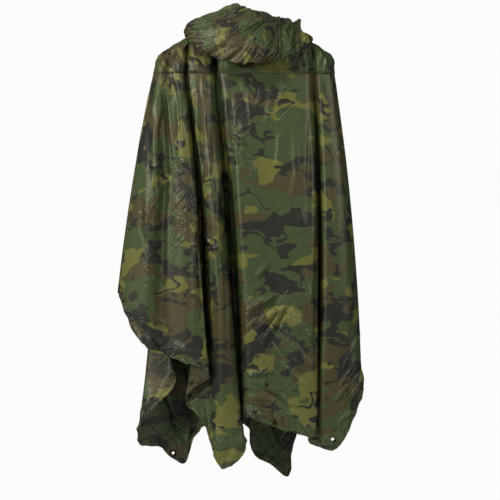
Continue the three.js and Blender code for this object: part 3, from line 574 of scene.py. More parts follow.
def cloth_object(name, grid, uv, rising, falling, used=None, closed=False):
    rows, columns = grid.shape[:2]
    number = np.arange(rows * columns).reshape(rows, columns)
    if closed:
        number = np.hstack([number, number[:, :1]])
        uv = np.concatenate([uv, uv[:, :1] + [uv[0, -1, 0] - uv[0, 0, 0] + CLOSING_CELL, 0]], axis=1)
    quads = np.stack([number[:-1, :-1], number[1:, :-1], number[1:, 1:], number[:-1, 1:]], axis=-1)
    quad_uv = np.stack([uv[:-1, :-1], uv[1:, :-1], uv[1:, 1:], uv[:-1, 1:]], axis=-2)
    keep = np.ones(quads.shape[:2], bool) if used is None else used
    quads, quad_uv = quads[keep], quad_uv[keep]
    numbers, quads = np.unique(quads, return_inverse=True)
    quads = quads.reshape(-1, 4)
    mesh = bpy.data.meshes.new(name)
    mesh.from_pydata((grid.reshape(-1, 3)[numbers] * MM).tolist(), [], quads.tolist())
    layer = mesh.uv_layers.new(name="cloth")
    layer.data.foreach_set("uv", quad_uv.astype(np.float32).ravel())
    for label, shares in (("rising", rising), ("falling", falling)):
        value = mesh.attributes.new(label, "FLOAT", "POINT")
        value.data.foreach_set("value", shares.ravel()[numbers].astype(np.float32))
    mesh.polygons.foreach_set("use_smooth", [True] * len(mesh.polygons))
    for material in (printed_nylon, coated_nylon_with_painted_shade):
        mesh.materials.append(material)
    made = to_scene(name, mesh)
    wall = made.modifiers.new("wall", "SOLIDIFY")
    wall.thickness = WALL * MM
    wall.offset = -1
    wall.material_offset = 1
    wall.use_quality_normals = True
    print(name, "has", len(mesh.polygons), "faces on its outside")
    return made

# %% [markdown]
# ## Coated ripstop nylon
# The cloth is a thin woven nylon with a ripstop grid of thicker threads about 5 mm apart, printed in a common
# four-colour woodland camouflage and coated on the inside. The coat makes it a little glossy and lets it keep
# creases. The camouflage is drawn by noise: each colour covers the places where one warped noise is high, so
# no picture is needed.

# %% Sizes of the print and of the small creases
# A Mix node has a socket for each kind of value, and these are the numbers of its colour sockets.
COLOR_A, COLOR_B, COLOR_OUT = 6, 7, 2
GROUND, BLACK = linear("#3e4f37"), linear("#26292d")
# Columns: colour, blots per metre, level above which the colour shows, and the shift of its noise.
PRINTS = [(linear("#474332"), 5.4, 0.52, 3.0), (linear("#65683b"), 7.0, 0.6, 11.0), (BLACK, 10.5, 0.61, 27.0)]
THREAD_HEIGHT = 0.00005
# Columns: attribute, turn in degrees, size of the noise across and along the creases in metres, share of the
# noise that is ridge, height of a ridge in metres, and the shift of the noise.
CREASE_FANS = [
    ("rising", -50, 0.03, 0.24, 0.034, 0.0019, 1.0), ("rising", -34, 0.02, 0.12, 0.06, 0.0014, 5.0),
    ("falling", 40, 0.03, 0.24, 0.034, 0.0019, 9.0), ("falling", 62, 0.02, 0.12, 0.06, 0.0014, 13.0),
    ("rising", -80, 0.013, 0.05, 0.1, 0.0009, 17.0), ("falling", 12, 0.014, 0.06, 0.1, 0.0009, 21.0),
]

# %% Colours of the print
def camouflage_colour(tree, uv):
    """Lays the colours of the print over each other and returns the last one's output."""
    # The print's blots lie along the cloth's width and are nearly twice as wide as they are high.
    flat = add_node(tree, "ShaderNodeMapping", {"Vector": uv, "Scale": (1.0, 1.8, 1.0)})
    sway = add_node(tree, "ShaderNodeTexNoise", {"Vector": flat, "Scale": 13.0, "Detail": 1.5})
    centred = add_node(tree, "ShaderNodeVectorMath", {0: sway.outputs["Color"], 1: (0.5, 0.5, 0.5)},
                       operation="SUBTRACT")
    pulled = add_node(tree, "ShaderNodeVectorMath", {0: centred, "Scale": 0.13}, operation="SCALE")
    blots = add_node(tree, "ShaderNodeVectorMath", {0: flat, 1: pulled}, operation="ADD")
    colour = GROUND
    for over, scale, level, shift in PRINTS:
        moved = add_node(tree, "ShaderNodeVectorMath", {0: blots, 1: (shift, shift, shift)}, operation="ADD")
        noise = add_node(tree, "ShaderNodeTexNoise", {"Vector": moved, "Scale": scale, "Detail": 1.0,
                                                      "Roughness": 0.4})
        covered = add_node(tree, "ShaderNodeMath", {0: noise, 1: level}, operation="GREATER_THAN")
        colour = add_node(tree, "ShaderNodeMix", {0: covered, COLOR_A: colour, COLOR_B: over},
                          data_type="RGBA").outputs[COLOR_OUT]
    # The black also has short twigs. They lie where one noise crosses its middle and a broader one is high.
    twig = add_node(tree, "ShaderNodeTexNoise", {"Vector": blots, "Scale": 11.0, "Detail": 0.5})
    crossing = add_node(tree, "ShaderNodeMath", {0: twig, 1: 0.5, 2: 0.04}, operation="COMPARE")
    there = add_node(tree, "ShaderNodeTexNoise", {"Vector": moved, "Scale": 6.0})
    near = add_node(tree, "ShaderNodeMath", {0: there, 1: 0.555}, operation="GREATER_THAN")
    twigs = add_node(tree, "ShaderNodeMath", {0: crossing, 1: near}, operation="MULTIPLY")
    return add_node(tree, "ShaderNodeMix", {0: twigs, COLOR_A: colour, COLOR_B: BLACK},
                    data_type="RGBA").outputs[COLOR_OUT]

# %% Small creases and thicker threads
def crease_height(tree, uv):
    """Height of the small creases in metres, with the ripstop threads on top."""
    # Creased nylon shows fans of thin ridges, about 4 mm wide and up to 200 mm long. They lie where a noise
    # that is stretched along the fan crosses its middle, and a broad noise says where a fan is.
    height = 0.0
    for label, turn, across, along, line, top, shift in CREASE_FANS:
        share = add_node(tree, "ShaderNodeAttribute", attribute_name=label).outputs["Fac"]
        laid = add_node(tree, "ShaderNodeMapping", {
            "Vector": uv, "Rotation": (0, 0, math.radians(turn)), "Location": (shift, shift, 0),
            "Scale": (across, along, 1.0)}, vector_type="TEXTURE")
        wave = add_node(tree, "ShaderNodeTexNoise", {"Vector": laid, "Scale": 1.0, "Detail": 1.0,
                                                     "Roughness": 0.4})
        middle = add_node(tree, "ShaderNodeMath", {0: wave, 1: 0.5}, operation="SUBTRACT")
        away = add_node(tree, "ShaderNodeMath", {0: middle}, operation="ABSOLUTE")
        ridge = add_node(tree, "ShaderNodeMapRange", {"Value": away, "From Max": line, "To Min": top,
                                                      "To Max": 0.0})
        region = add_node(tree, "ShaderNodeTexNoise", {"Vector": laid, "Scale": 0.3, "Detail": 0.0})
        fan = add_node(tree, "ShaderNodeMapRange", {"Value": region, "From Min": 0.42, "From Max": 0.56})
        strength = add_node(tree, "ShaderNodeMath", {0: fan, 1: share}, operation="MULTIPLY")
        height = add_node(tree, "ShaderNodeMath", {0: ridge, 1: strength, 2: height},
                          operation="MULTIPLY_ADD")
    # The thicker threads stand every 5 mm each way and 0.05 mm above the others.
    for direction in ("X", "Y"):
        grid = add_node(tree, "ShaderNodeTexWave", {"Vector": uv, "Scale": 31.4, "Distortion": 0.0},
                        bands_direction=direction).outputs["Fac"]
        sharp = add_node(tree, "ShaderNodeMath", {0: grid, 1: 12.0}, operation="POWER")
        height = add_node(tree, "ShaderNodeMath", {0: sharp, 1: THREAD_HEIGHT, 2: height},
                          operation="MULTIPLY_ADD")
    return height

# %% Printed nylon
def camouflage_cloth(name, coat_and_shade_dimming, roughness):
    material, tree, shader = new_material(name, {"Roughness": roughness, "Specular IOR Level": 0.4})
    uv = add_node(tree, "ShaderNodeUVMap", uv_map="cloth")
    colour = camouflage_colour(tree, uv)
    # Wear makes the colours a little uneven.
    worn = add_node(tree, "ShaderNodeTexNoise", {"Vector": uv, "Scale": 40.0, "Detail": 4.0})
    # The dimming scales the whole print down. On the inside it stands partly for the coat over the print and
    # partly for painted shade.
    fade = add_node(tree, "ShaderNodeMapRange", {"Value": worn, "To Min": coat_and_shade_dimming * 0.86,
                                                 "To Max": coat_and_shade_dimming * 1.14})
    shaded = add_node(tree, "ShaderNodeHueSaturation", {"Color": colour, "Value": fade})
    bump = add_node(tree, "ShaderNodeBump", {"Height": crease_height(tree, uv), "Distance": 1.0})
    set_inputs(shader, {"Base Color": shaded, "Normal": bump})
    return material


printed_nylon = camouflage_cloth("printed ripstop nylon, outside", 1.0, 0.43)
# The inside is the same print at 0.8 of its brightness. Part of that is the coat over the print, and part is
# painted shade for the inner layers, which hang in shade.
coated_nylon_with_painted_shade = camouflage_cloth("printed ripstop nylon, coated inside", 0.8, 0.5)

# %% [markdown]
# ## Front and back panels
# The two panels hang from the shoulder seam to the hem. Their rows are close together at the hem, where the
# cloth is turned up and sewn, and the turned-up band stands a little proud.

# %% Panel sizes
UPPER_ROWS, LOWER_ROWS = 60, 140
COLUMNS_PER_FOLD = 10
# Shares of the way down: where the rows come closer together, where the gathers of the hem start, where the
# turned-up band starts, and the rows in and above the band.
CLOSER, GATHERED, HEM_START = 0.42, 0.93, 0.9885
HEM_ROWS = [0.986, 0.9875, 0.989, 0.994, 0.9985, 1.0]
# Columns: height in millimetres, size of a cell across, its lean, size of a cell down, its tilt and the seed.
PANEL_CRUMPLES = [(1.6, 30, 60, 38, -90, 5), (0.8, 14, -40, 18, 50, 6)]
HEM_GATHERS = [(4.8, 22, 60, 60, math.inf, 21), (3.2, 10, -50, 40, math.inf, 22)]
# Height of the broad waves, height and unevenness of the hem's band, and how far its edge goes up and down.
WAVE_HEIGHT, BAND_LIFT, BAND_WAVES, HEM_WANDER = 0.9, 0.8, 1.2, 6
# Share of the small creases in the hem's band and just above it.
IN_BAND, ABOVE_BAND = 0.8, 0.7
# Columns: panel, its first and last fold, creases, zones, the side that it faces and the shift of its print.
PANELS = [("front_panel", 0, FRONT_END, FRONT_CREASES, FRONT_ZONES, -1, 1.37),
          ("back_panel", BACK_START, BACK_END, BACK_CREASES, BACK_ZONES, 1, 4.0)]

# %% Panel finish
def finished_cloth(grid, creases, zones, facing, hem_share, near_hem):
    """Adds creases, crumples and the hem's band to a grid. facing is -1 for the front and 1 for the back."""
    normal = grid_normals(grid)
    x, z = grid[..., 0], grid[..., 2]
    seen = faded(normal[..., 1] * facing, 0.15, 0.5)
    rising, falling = zone_shares(x, z, zones)
    lift = crease_lift(x, z, creases) * seen
    lift += np.maximum(rising, falling) * crumples(x, z, PANEL_CRUMPLES)
    lift += WAVE_HEIGHT * soft_noise(x / 60, z / 170, 8)
    # The seam is sewn flat, so everything fades over the last 25 mm below it.
    lift *= faded(SEAM_Z - z, 0, 25)
    # The sewn hem is a little shorter than the cloth, which gathers it into small uneven waves.
    lift += near_hem * crumples(x, z, HEM_GATHERS)
    lift += hem_share * (BAND_LIFT + BAND_WAVES * soft_noise(x / 17, z / 40, 9))
    finished = grid + normal * lift[..., None]
    finished[..., 2] += near_hem ** 2 * HEM_WANDER * soft_noise(x / 16, x / 90, 23)
    puckered = np.clip(SMOOTH_SHARE + np.maximum(hem_share * IN_BAND, near_hem * ABOVE_BAND), 0, 1)
    return finished, np.maximum(rising, puckered), np.maximum(falling, puckered)

# %% Front and back panels
panels = {}
down = np.concatenate([np.linspace(0, CLOSER, UPPER_ROWS, endpoint=False),
                       np.linspace(CLOSER, HEM_ROWS[0], LOWER_ROWS), HEM_ROWS[1:]])
for name, start, end, creases, zones, facing, shift in PANELS:
    around = np.linspace(start + EDGE_SHARE, end - EDGE_SHARE, (end - start) * COLUMNS_PER_FOLD + 1)
    grid = cloth_grid(around, down)
    edges = np.minimum(around - start, end - around)[None, :]
    level = down[:, None]
    in_hem = np.maximum(faded(level, HEM_START, HEM_START + 0.001), faded(edges, 0.2, 0.14))
    in_hem = in_hem * faded(level, 0, 0.05)
    near_hem = faded(level, GATHERED, 0.98) * np.ones_like(around)[None, :]
    grid, rising, falling = finished_cloth(grid, creases, zones, facing, in_hem, near_hem)
    width = arc_lengths(grid[int(len(down) * 0.6)])
    piece = cloth_object(f"{name}_cloth", grid, cloth_uv(width, grid[..., 2], shift), rising, falling)
    panels[name] = (piece, grid)
    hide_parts(f"{name}_upper", f"{name}_lower")
    print(name, "is", round(float(width[-1] * MM), 2), "m wide in the cloth")

# %% [markdown]
# ## Centre panel
# The centre panel goes once round the shoulders, from the neck hole down to the seam, and hangs on as a
# narrow strip at each side. It is one closed ring of points with the strips as the only cells below the seam.

# %% Centre panel
YOKE_ROWS, STRIP_ROWS = 40, 120
# The columns are those of the panels' crumples. The yoke's lower edge stands proud of the panels by the lap.
YOKE_GATHERS = [(2.2, 21, 50, 60, math.inf, 12), (1.2, 9, -60, 40, math.inf, 13)]
LAP_LIFT = 0.7
# Share of the small creases on the whole centre panel.
YOKE_SHARE = 0.4
strip_steps = np.linspace(EDGE_SHARE, 1 - EDGE_SHARE, 13)
around = np.concatenate([
    np.linspace(0, FRONT_END, FRONT_END * COLUMNS_PER_FOLD + 1)[1:-1],
    FRONT_END + strip_steps,
    np.linspace(BACK_START, BACK_END, (BACK_END - BACK_START) * COLUMNS_PER_FOLD + 1)[1:-1],
    BACK_END + strip_steps,
])
yoke_down = np.linspace(0, 1, YOKE_ROWS)
strip_down = np.linspace(0, 1, STRIP_ROWS)[1:]
grid = np.concatenate([yoke_grid(around, yoke_down), cloth_grid(around, strip_down)])
closed = np.concatenate([grid[:, -1:], grid, grid[:, :1]], axis=1)
normal = grid_normals(closed)[:, 1:-1]
x, z = grid[..., 0], grid[..., 2]
on_yoke = np.zeros(len(grid))
on_yoke[:YOKE_ROWS] = np.clip(np.minimum(yoke_down * 6, (1 - yoke_down) * 7), 0, 1)
lift = crease_lift(x, z, YOKE_CREASES) * faded(-normal[..., 1], 0.1, 0.4) * on_yoke[:, None]
# The back has the same creases mirrored, a little wider apart and moved.
lift += crease_lift(-x * 0.9 + 12, z, YOKE_CREASES) * faded(normal[..., 1], 0, 0.5) * on_yoke[:, None]
lift += on_yoke[:, None] * crumples(x, z, YOKE_GATHERS)
# The yoke's lower edge laps over the panels below it.
lift[:YOKE_ROWS] += LAP_LIFT * faded(yoke_down, 0.6, 0.9)[:, None]
grid = grid + normal * lift[..., None]
wrapped = np.concatenate([grid, grid[:, :1]], axis=1)
uv = cloth_uv(arc_lengths(wrapped[YOKE_ROWS - 1])[:-1], -arc_lengths(grid), 12.1)
after = np.concatenate([around[1:], [len(ALL_FOLDS)]])
in_strip = ((around >= FRONT_END) & (after <= BACK_START)) | (around >= BACK_END)
in_strip[-1] = False
used = np.ones((len(grid) - 1, len(around)), bool)
used[YOKE_ROWS - 1:] = in_strip
pulled = np.full(x.shape, YOKE_SHARE)
centre_piece = cloth_object("centre_panel_cloth", grid, uv, pulled, pulled, used=used, closed=True)
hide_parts("centre_panel")
panels["centre_panel"] = (centre_piece, grid)

# %% [markdown]
# ## Hood
# The hood's two halves meet over the crown and under the throat. Its folds are the sharpest on the whole
# garment, because all of its cloth has slumped into a small roll.

# %% Hood sizes
# Columns: turn, slant, width, height, then where the fold starts and ends on its way up.
SMALL_HOOD_FOLDS = [
    (-168, 30, 5, 3, 0.3, 0.9), (-140, 44, 4, 3.5, 0.35, 0.95), (-133, 40, 3, -2.5, 0.4, 0.9),
    (-114, 50, 4, 3.5, 0.3, 1.0), (-96, 34, 4, 3, 0.35, 0.95), (-74, 20, 4, -3, 0.3, 0.9),
    (-66, 22, 3, 2.5, 0.4, 1.0), (-48, 8, 4, 3, 0.3, 0.85), (-38, -12, 4, -3, 0.35, 0.9),
    (-16, -16, 5, 3, 0.3, 0.9), (20, 12, 6, 3, 0.3, 0.9), (62, 16, 6, -3, 0.3, 0.9),
    (74, -8, 5, 3, 0.35, 1.0), (108, -14, 6, 3, 0.3, 0.9), (150, -20, 6, -3, 0.3, 0.9),
]
# Where round the hood the drawcord's ends hang and how far they press the cloth, in degrees.
CORD_TURN, CORD_SPREAD = -55, 11
# The small folds take up this many times the width that shows, which narrows the print on them.
HOOD_FULLNESS = 1.6
# Columns: height in millimetres, width of a cell in degrees, cells on the way up, shift and seed.
HOOD_CRUMPLES = [(4.6, 14, 1.6, 0, 15), (3.2, 6.5, 2.5, 7, 19), (1.0, 2.8, 6, 0, 20)]
# Turns in degrees, and how far the small folds lean there from the seam to the face edge.
LEANING_TURNS, LEANS = [-180, -90, 0, 180], [120, 105, 20, 0]
# Height, place and width of the channel's band, the latter two as shares of the way up.
BAND_HEIGHT, BAND_UP, BAND_WIDTH = 1.6, 0.965, 0.03
# Columns: name, turn where it starts, columns, rows and shift of the print.
HOOD_HALVES = [("hood_near_half", -180, 230, 150, 24.2), ("hood_far_half", 0, 130, 90, 15.0)]

# %% Hood halves
for name, start, columns, rows, shift in HOOD_HALVES:
    turns = np.linspace(start + 0.25, start + 179.75, columns + 1)
    ups = np.linspace(1, 0, rows + 1)
    grid = hood_grid(turns, ups)
    normal = grid_normals(grid)
    turn, up = np.meshgrid(turns, ups)
    ends = faded(np.minimum(turn - start, start + 180 - turn), 0, 8)
    lift = np.zeros_like(turn)
    for at, slant, fold_width, height, low, high in SMALL_HOOD_FOLDS:
        along = faded(up, low, high)
        across = angle_apart(turn, at + slant * up + 3 * soft_noise(up * 5, up * 0 + at, 14)) / fold_width
        lift += height * (4 * along * (1 - along)) ** 0.7 * np.exp(-across ** 1.4)
    # The slumped cloth between the main folds is full of smaller ones, which lean over towards the face edge.
    leaning = turn - up * np.interp(turn, LEANING_TURNS, LEANS) + 9 * soft_noise(up * 3, turn / 25, 18)
    slack = faded(up, 0.12, 0.32)
    for height, across, cells_up, moved, seed in HOOD_CRUMPLES:
        lift += slack * height * ridges(leaning / across, up * cells_up + moved, seed)
    # Under the drawcord's hanging ends the cloth is pressed flat.
    lift -= np.exp(-(angle_apart(turn, CORD_TURN) / CORD_SPREAD) ** 2) * np.maximum(lift, 0)
    # The face edge is turned in over the drawcord, which leaves a thicker band.
    lift += BAND_HEIGHT * np.exp(-((up - BAND_UP) / BAND_WIDTH) ** 2)
    grid = grid + normal * (lift * ends)[..., None]
    uv = cloth_uv(arc_lengths(grid[rows // 2]) * HOOD_FULLNESS, -arc_lengths(grid), shift)
    rising = np.clip(0.8 + 0.5 * soft_noise(turn / 25, up * 5, 16), 0, 1)
    falling = np.clip(0.35 + 0.4 * soft_noise(turn / 25, up * 5, 17), 0, 1)
    piece = cloth_object(f"{name}_cloth", grid, uv, rising, falling)
    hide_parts(name)
    panels[name] = (piece, grid)

for piece, _ in panels.values():
    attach(piece, "root")

# %% [markdown]
# ## Snaps, grommets and the eyelet
# The metal parts are pressed rings and caps, so each is a profile turned round its axis. They sit on the
# cloth where the CAD model has them, found by the nearest point of the finished cloth.

# %% Blackened and brassy metal
snap_paint, *_ = new_material("snap cap, steel with dark green lacquer",
                              {"Base Color": linear("#24261f"), "Metallic": 0.6, "Roughness": 0.38})
eyelet_paint, *_ = new_material("eyelet, brass with dark green lacquer",
                                {"Base Color": linear("#3b3f33"), "Metallic": 0.8, "Roughness": 0.35})
old_brass, tree, shader = new_material("grommet, brass with dull brown patina",
                                       {"Metallic": 0.9, "Roughness": 0.42})
place = add_node(tree, "ShaderNodeTexCoord").outputs["Object"]
tarnish = add_node(tree, "ShaderNodeTexNoise", {"Vector": place, "Scale": 400.0, "Detail": 3.0})
tint = add_node(tree, "ShaderNodeMix", {0: tarnish, COLOR_A: linear("#1b1a14"), COLOR_B: linear("#36321f")},
                data_type="RGBA")
set_inputs(shader, {"Base Color": tint.outputs[COLOR_OUT]})

# %% Turned pieces
SIDES = 40


def ring_faces(rings, sides, closed):
    """Faces between rings of points. The two ends are flat, or joined to each other where it is closed."""
    faces = []
    for row in range(rings if closed else rings - 1):
        lower, upper = row * sides, (row + 1) % rings * sides
        for step in range(sides):
            after = (step + 1) % sides
            faces.append((lower + step, lower + after, upper + after, upper + step))
    if not closed:
        faces.append(tuple(reversed(range(sides))))
        faces.append(tuple(range((rings - 1) * sides, rings * sides)))
    return faces


def turned_piece(name, profile, centre, axis, material, closed):
    """Turns a profile of radius and height round the axis. A closed profile makes a ring."""
    turn = Vector((0, 0, 1)).rotation_difference(Vector(axis).normalized()).to_matrix()
    vertices = []
    for radius, height in profile:
        for angle in [2 * math.pi * step / SIDES for step in range(SIDES)]:
            point = turn @ Vector((radius * math.cos(angle), radius * math.sin(angle), height)) * MM
            vertices.append(Vector(centre) * MM + point)
    return mesh_object(name, vertices, ring_faces(len(profile), SIDES, closed), material)


def cad_middle(name):
    low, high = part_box(name)
    return (np.array(low) + np.array(high)) / 2 / MM


def seat_on(panel, wanted):
    """The nearest point of the finished cloth and its normal."""
    _, grid = panels[panel]
    apart = np.linalg.norm(grid - wanted, axis=-1)
    row, column = np.unravel_index(np.argmin(apart), apart.shape)
    row, column = min(max(row, 2), grid.shape[0] - 3), min(max(column, 2), grid.shape[1] - 3)
    across = grid[row, column + 2] - grid[row, column - 2]
    down = grid[row + 2, column] - grid[row - 2, column]
    normal = np.cross(down, across)
    return grid[row, column], normal / np.linalg.norm(normal)

# %% Snaps
SNAP_PROFILE = [(0.5, 0), (5.4, 0), (6, 0.7), (5.9, 1.3), (5.2, 1.9), (4.1, 2.0), (3.7, 1.7), (3.2, 1.7),
                (2.7, 2.2), (1.4, 2.55), (0.4, 2.6)]
# The face of the cloth that each snap sits on: 1 is the outside and -1 the inside.
SNAP_FACES = [1, 1, 1, -1, 1, 1, 1]
SNAP_LIFT = 0.2
for number, face in enumerate(SNAP_FACES, start=1):
    point, normal = seat_on("front_panel", cad_middle(f"snap_{number}"))
    lifted = point + normal * face * (SNAP_LIFT if face > 0 else SNAP_LIFT + WALL)
    snap = turned_piece(f"snap_{number}_cap", SNAP_PROFILE, lifted, normal * face, snap_paint, closed=False)
    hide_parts(f"snap_{number}")
    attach(snap, "root")
print(len(SNAP_FACES), "snaps on the front panel's edges")

# %% Grommets and eyelet
# The cloth's hole is this much wider than the ring's on each side, in millimetres. Its edge points within
# this many radii of its middle are moved on to the circle.
HOLE_SLACK, EDGE_REACH = 1, 1.8


def ring_profile(inner, outer, grip, rim):
    """Section of a pressed ring from its inner radius to its outer one, round on both faces."""
    middle, half = (inner + outer) / 2, (outer - inner) / 2
    return [(middle + side * half * math.cos(a), side * (grip / 2 + rim * math.sin(a)))
            for side in (1, -1) for a in np.linspace(0, math.pi, 9)]


def open_cloth(panel, centre, radius):
    """Takes a round hole out of a panel, so that one can see through its ring."""
    mesh = panels[panel][0].data
    edit = bmesh.new()
    edit.from_mesh(mesh)
    middle = Vector(centre) * MM
    inside = [f for f in edit.faces if (f.calc_center_median() - middle).length < radius * MM]
    bmesh.ops.delete(edit, geom=inside, context="FACES")
    # The edge that is left follows the cloth's cells, so its points are moved on to the circle.
    for vertex in edit.verts:
        away = vertex.co - middle
        if vertex.is_boundary and away.length < EDGE_REACH * radius * MM:
            vertex.co = middle + away.normalized() * radius * MM
    edit.to_mesh(mesh)
    edit.free()
    return len(inside)

# %% Rings in their holes
# Columns: CAD node, panel, hole, flange, grip, rim, material, slot.
RINGS = [
    ("grommet_front_corner", "front_panel", 8.5, 18, 1.6, 1.3, old_brass, "grommet_metal"),
    ("grommet_front_hem", "front_panel", 8.5, 18, 1.6, 1.3, old_brass, "grommet_metal"),
    ("grommet_back_corner", "back_panel", 8.5, 18, 1.6, 1.3, old_brass, "grommet_metal"),
    ("hood_eyelet", "hood_near_half", 6, 13, 1.4, 1.1, eyelet_paint, "eyelet_metal"),
]
for node_name, panel, hole, flange, grip, rim, material, slot in RINGS:
    point, normal = seat_on(panel, cad_middle(node_name))
    taken = open_cloth(panel, point, hole / 2 + HOLE_SLACK)
    ring = turned_piece(f"{node_name}_ring", ring_profile(hole / 2, flange / 2, grip, rim),
                        point - normal * WALL / 2, normal, material, closed=True)
    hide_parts(node_name)
    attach(ring, "root")
    print(node_name, "sits in a hole of", taken, "faces")

# %% [markdown]
# ## Coat hanger
# A plain wooden hanger carries the poncho, and its arms slope like shoulders. Its section is a superellipse,
# so rings of points along the bar make it. Only its hook and a little of its bar can be seen, from above.

# %% Varnished beech
beech, tree, shader = new_material("beech, turned and varnished", {"Roughness": 0.35, "Coat Weight": 0.4})
place = add_node(tree, "ShaderNodeTexCoord").outputs["Object"]
# Beech has a fine grain, here streaks of about 2 mm that run along the bar.
along = add_node(tree, "ShaderNodeMapping", {"Vector": place, "Scale": (12.0, 300.0, 300.0)})
grain = add_node(tree, "ShaderNodeTexNoise", {"Vector": along, "Scale": 1.5, "Detail": 5.0,
                                              "Distortion": 0.6})
tint = add_node(tree, "ShaderNodeMix", {0: grain, COLOR_A: linear("#8f6237"), COLOR_B: linear("#c08f5a")},
                data_type="RGBA")
set_inputs(shader, {"Base Color": tint.outputs[COLOR_OUT]})

# %% Plated steel wire
steel, *_ = new_material("steel wire, drawn and plated",
                         {"Base Color": linear("#c9c9c6"), "Metallic": 1.0, "Roughness": 0.22})

# %% Hanger sizes
HANGER_HALF_LENGTH, HANGER_THICKNESS = 224, 12
HANGER_DEPTH_MIDDLE, HANGER_DEPTH_END = 36, 20
HANGER_SEAT, HANGER_CROWN_Z = 2.2, -46
# The arms are straight outside this x, and a smooth curve joins them inside it.
JOIN_X = 150
# Power of the superellipse that is the bar's section. The smaller it is, the squarer is the section.
SECTION_POWER = 0.6
# Columns: distance from the bar's end, and share of the full thickness there.
BAR_END = [(0, 0.4), (1, 0.7), (4, 0.95)]
BAR_FULL_FROM, BAR_SECTIONS, BAR_SIDES = 8, 61, 28
HOOK_WIRE, HOOK_RADIUS, HOOK_GAP = 3.5, 19, 0.3
# The hook's bow runs between these angles.
HOOK_FROM, HOOK_TO, HOOK_BENDS, HOOK_STEPS = -62, 200, 13, 120

# %% Hanger bar
def hanger_top(x):
    """Height of the bar's upper edge."""
    straight = NECK_SIDE_Z + SLOPE * (abs(x) - NECK_HALF_WIDTH) - HANGER_SEAT
    if abs(x) >= JOIN_X:
        return straight
    join = NECK_SIDE_Z + SLOPE * (JOIN_X - NECK_HALF_WIDTH) - HANGER_SEAT
    share = 1 - abs(x) / JOIN_X
    rise = (HANGER_CROWN_Z - join) * share ** 2 * (3 - 2 * share)
    return join - SLOPE * JOIN_X * share * (1 - share) ** 2 + rise


def hanger_ring(x, scale):
    """One rounded section of the bar, as a superellipse."""
    depth = HANGER_DEPTH_MIDDLE + (HANGER_DEPTH_END - HANGER_DEPTH_MIDDLE) * (x / HANGER_HALF_LENGTH) ** 2
    middle = hanger_top(x) - depth / 2
    ring = []
    for angle in np.linspace(0, 2 * math.pi, BAR_SIDES, endpoint=False):
        c, s = math.cos(angle), math.sin(angle)
        ring.append((x, scale * HANGER_THICKNESS / 2 * abs(c) ** SECTION_POWER * math.copysign(1, c),
                     middle + scale * depth / 2 * abs(s) ** SECTION_POWER * math.copysign(1, s)))
    return ring


full_end = HANGER_HALF_LENGTH - BAR_FULL_FROM
sections = [(-HANGER_HALF_LENGTH + inwards, scale) for inwards, scale in BAR_END]
sections += [(x, 1.0) for x in np.linspace(-full_end, full_end, BAR_SECTIONS)]
sections += [(-x, scale) for x, scale in reversed(sections[:len(BAR_END)])]
rings = [hanger_ring(x, scale) for x, scale in sections]
vertices = [Vector(point) * MM for ring in rings for point in ring]
bar = mesh_object("hanger_bar_wood", vertices, ring_faces(len(rings), BAR_SIDES, closed=False), beech)
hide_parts("hanger_bar")
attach(bar, "root")

# %% Hook
radius = HOOK_RADIUS + HOOK_WIRE / 2
foot = HANGER_CROWN_Z + HOOK_GAP
bends = [(0, 0, foot), (0, 0, foot + HOOK_WIRE)]
bends += [(radius * math.cos(math.radians(a)), 0, -HOOK_RADIUS + radius * math.sin(math.radians(a)))
          for a in np.linspace(HOOK_FROM, HOOK_TO, HOOK_BENDS)]
hook = as_mesh(round_curve("hanger_hook_wire", cord_route(bends, HOOK_STEPS), HOOK_WIRE * MM, steel))
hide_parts("hanger_hook")
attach(hook, "root")
print("the hanger is", 2 * HANGER_HALF_LENGTH, "mm wide")

# %% [markdown]
# ## Stitches
# Every hem and seam is sewn with a dark thread. A stitch is the same small bar again and again along a line,
# so Geometry Nodes place it: points along a curve, with one bar on each, turned to the curve's direction.

# %% Polyester thread
thread, *_ = new_material("polyester thread, dark olive", {"Base Color": linear("#484b37"), "Roughness": 0.7})

# %% Stitch lines on the cloth
# The stitches' middle stands this far above the cloth, in millimetres.
STITCH_LIFT = 0.35
EVERY, BELOW_SEAM, INSIDE_ENDS = slice(0, None), slice(2, None), slice(1, -1)
# Columns: panel, and the rows and the columns of its grid that the line of stitches follows.
SEWN_LINES = [
    ("front_panel", -4, EVERY), ("front_panel", BELOW_SEAM, 2), ("front_panel", BELOW_SEAM, -3),
    ("front_panel", 1, EVERY), ("back_panel", -4, EVERY), ("back_panel", BELOW_SEAM, 2),
    ("back_panel", BELOW_SEAM, -3), ("back_panel", 1, EVERY), ("centre_panel", 2, INSIDE_ENDS),
    ("centre_panel", YOKE_ROWS - 2, INSIDE_ENDS), ("hood_near_half", 7, INSIDE_ENDS),
    ("hood_far_half", 7, INSIDE_ENDS),
]


def raised_line(panel, rows, columns):
    grid = panels[panel][1]
    return (grid[rows, columns] + grid_normals(grid)[rows, columns] * STITCH_LIFT) * MM


sewn = [raised_line(*line) for line in SEWN_LINES]
line_object = to_scene("stitch_lines", curve_data("stitch_lines", sewn))
print(len(SEWN_LINES), "lines of stitches")

# %% Stitch tree
THREAD_SIDES = 5
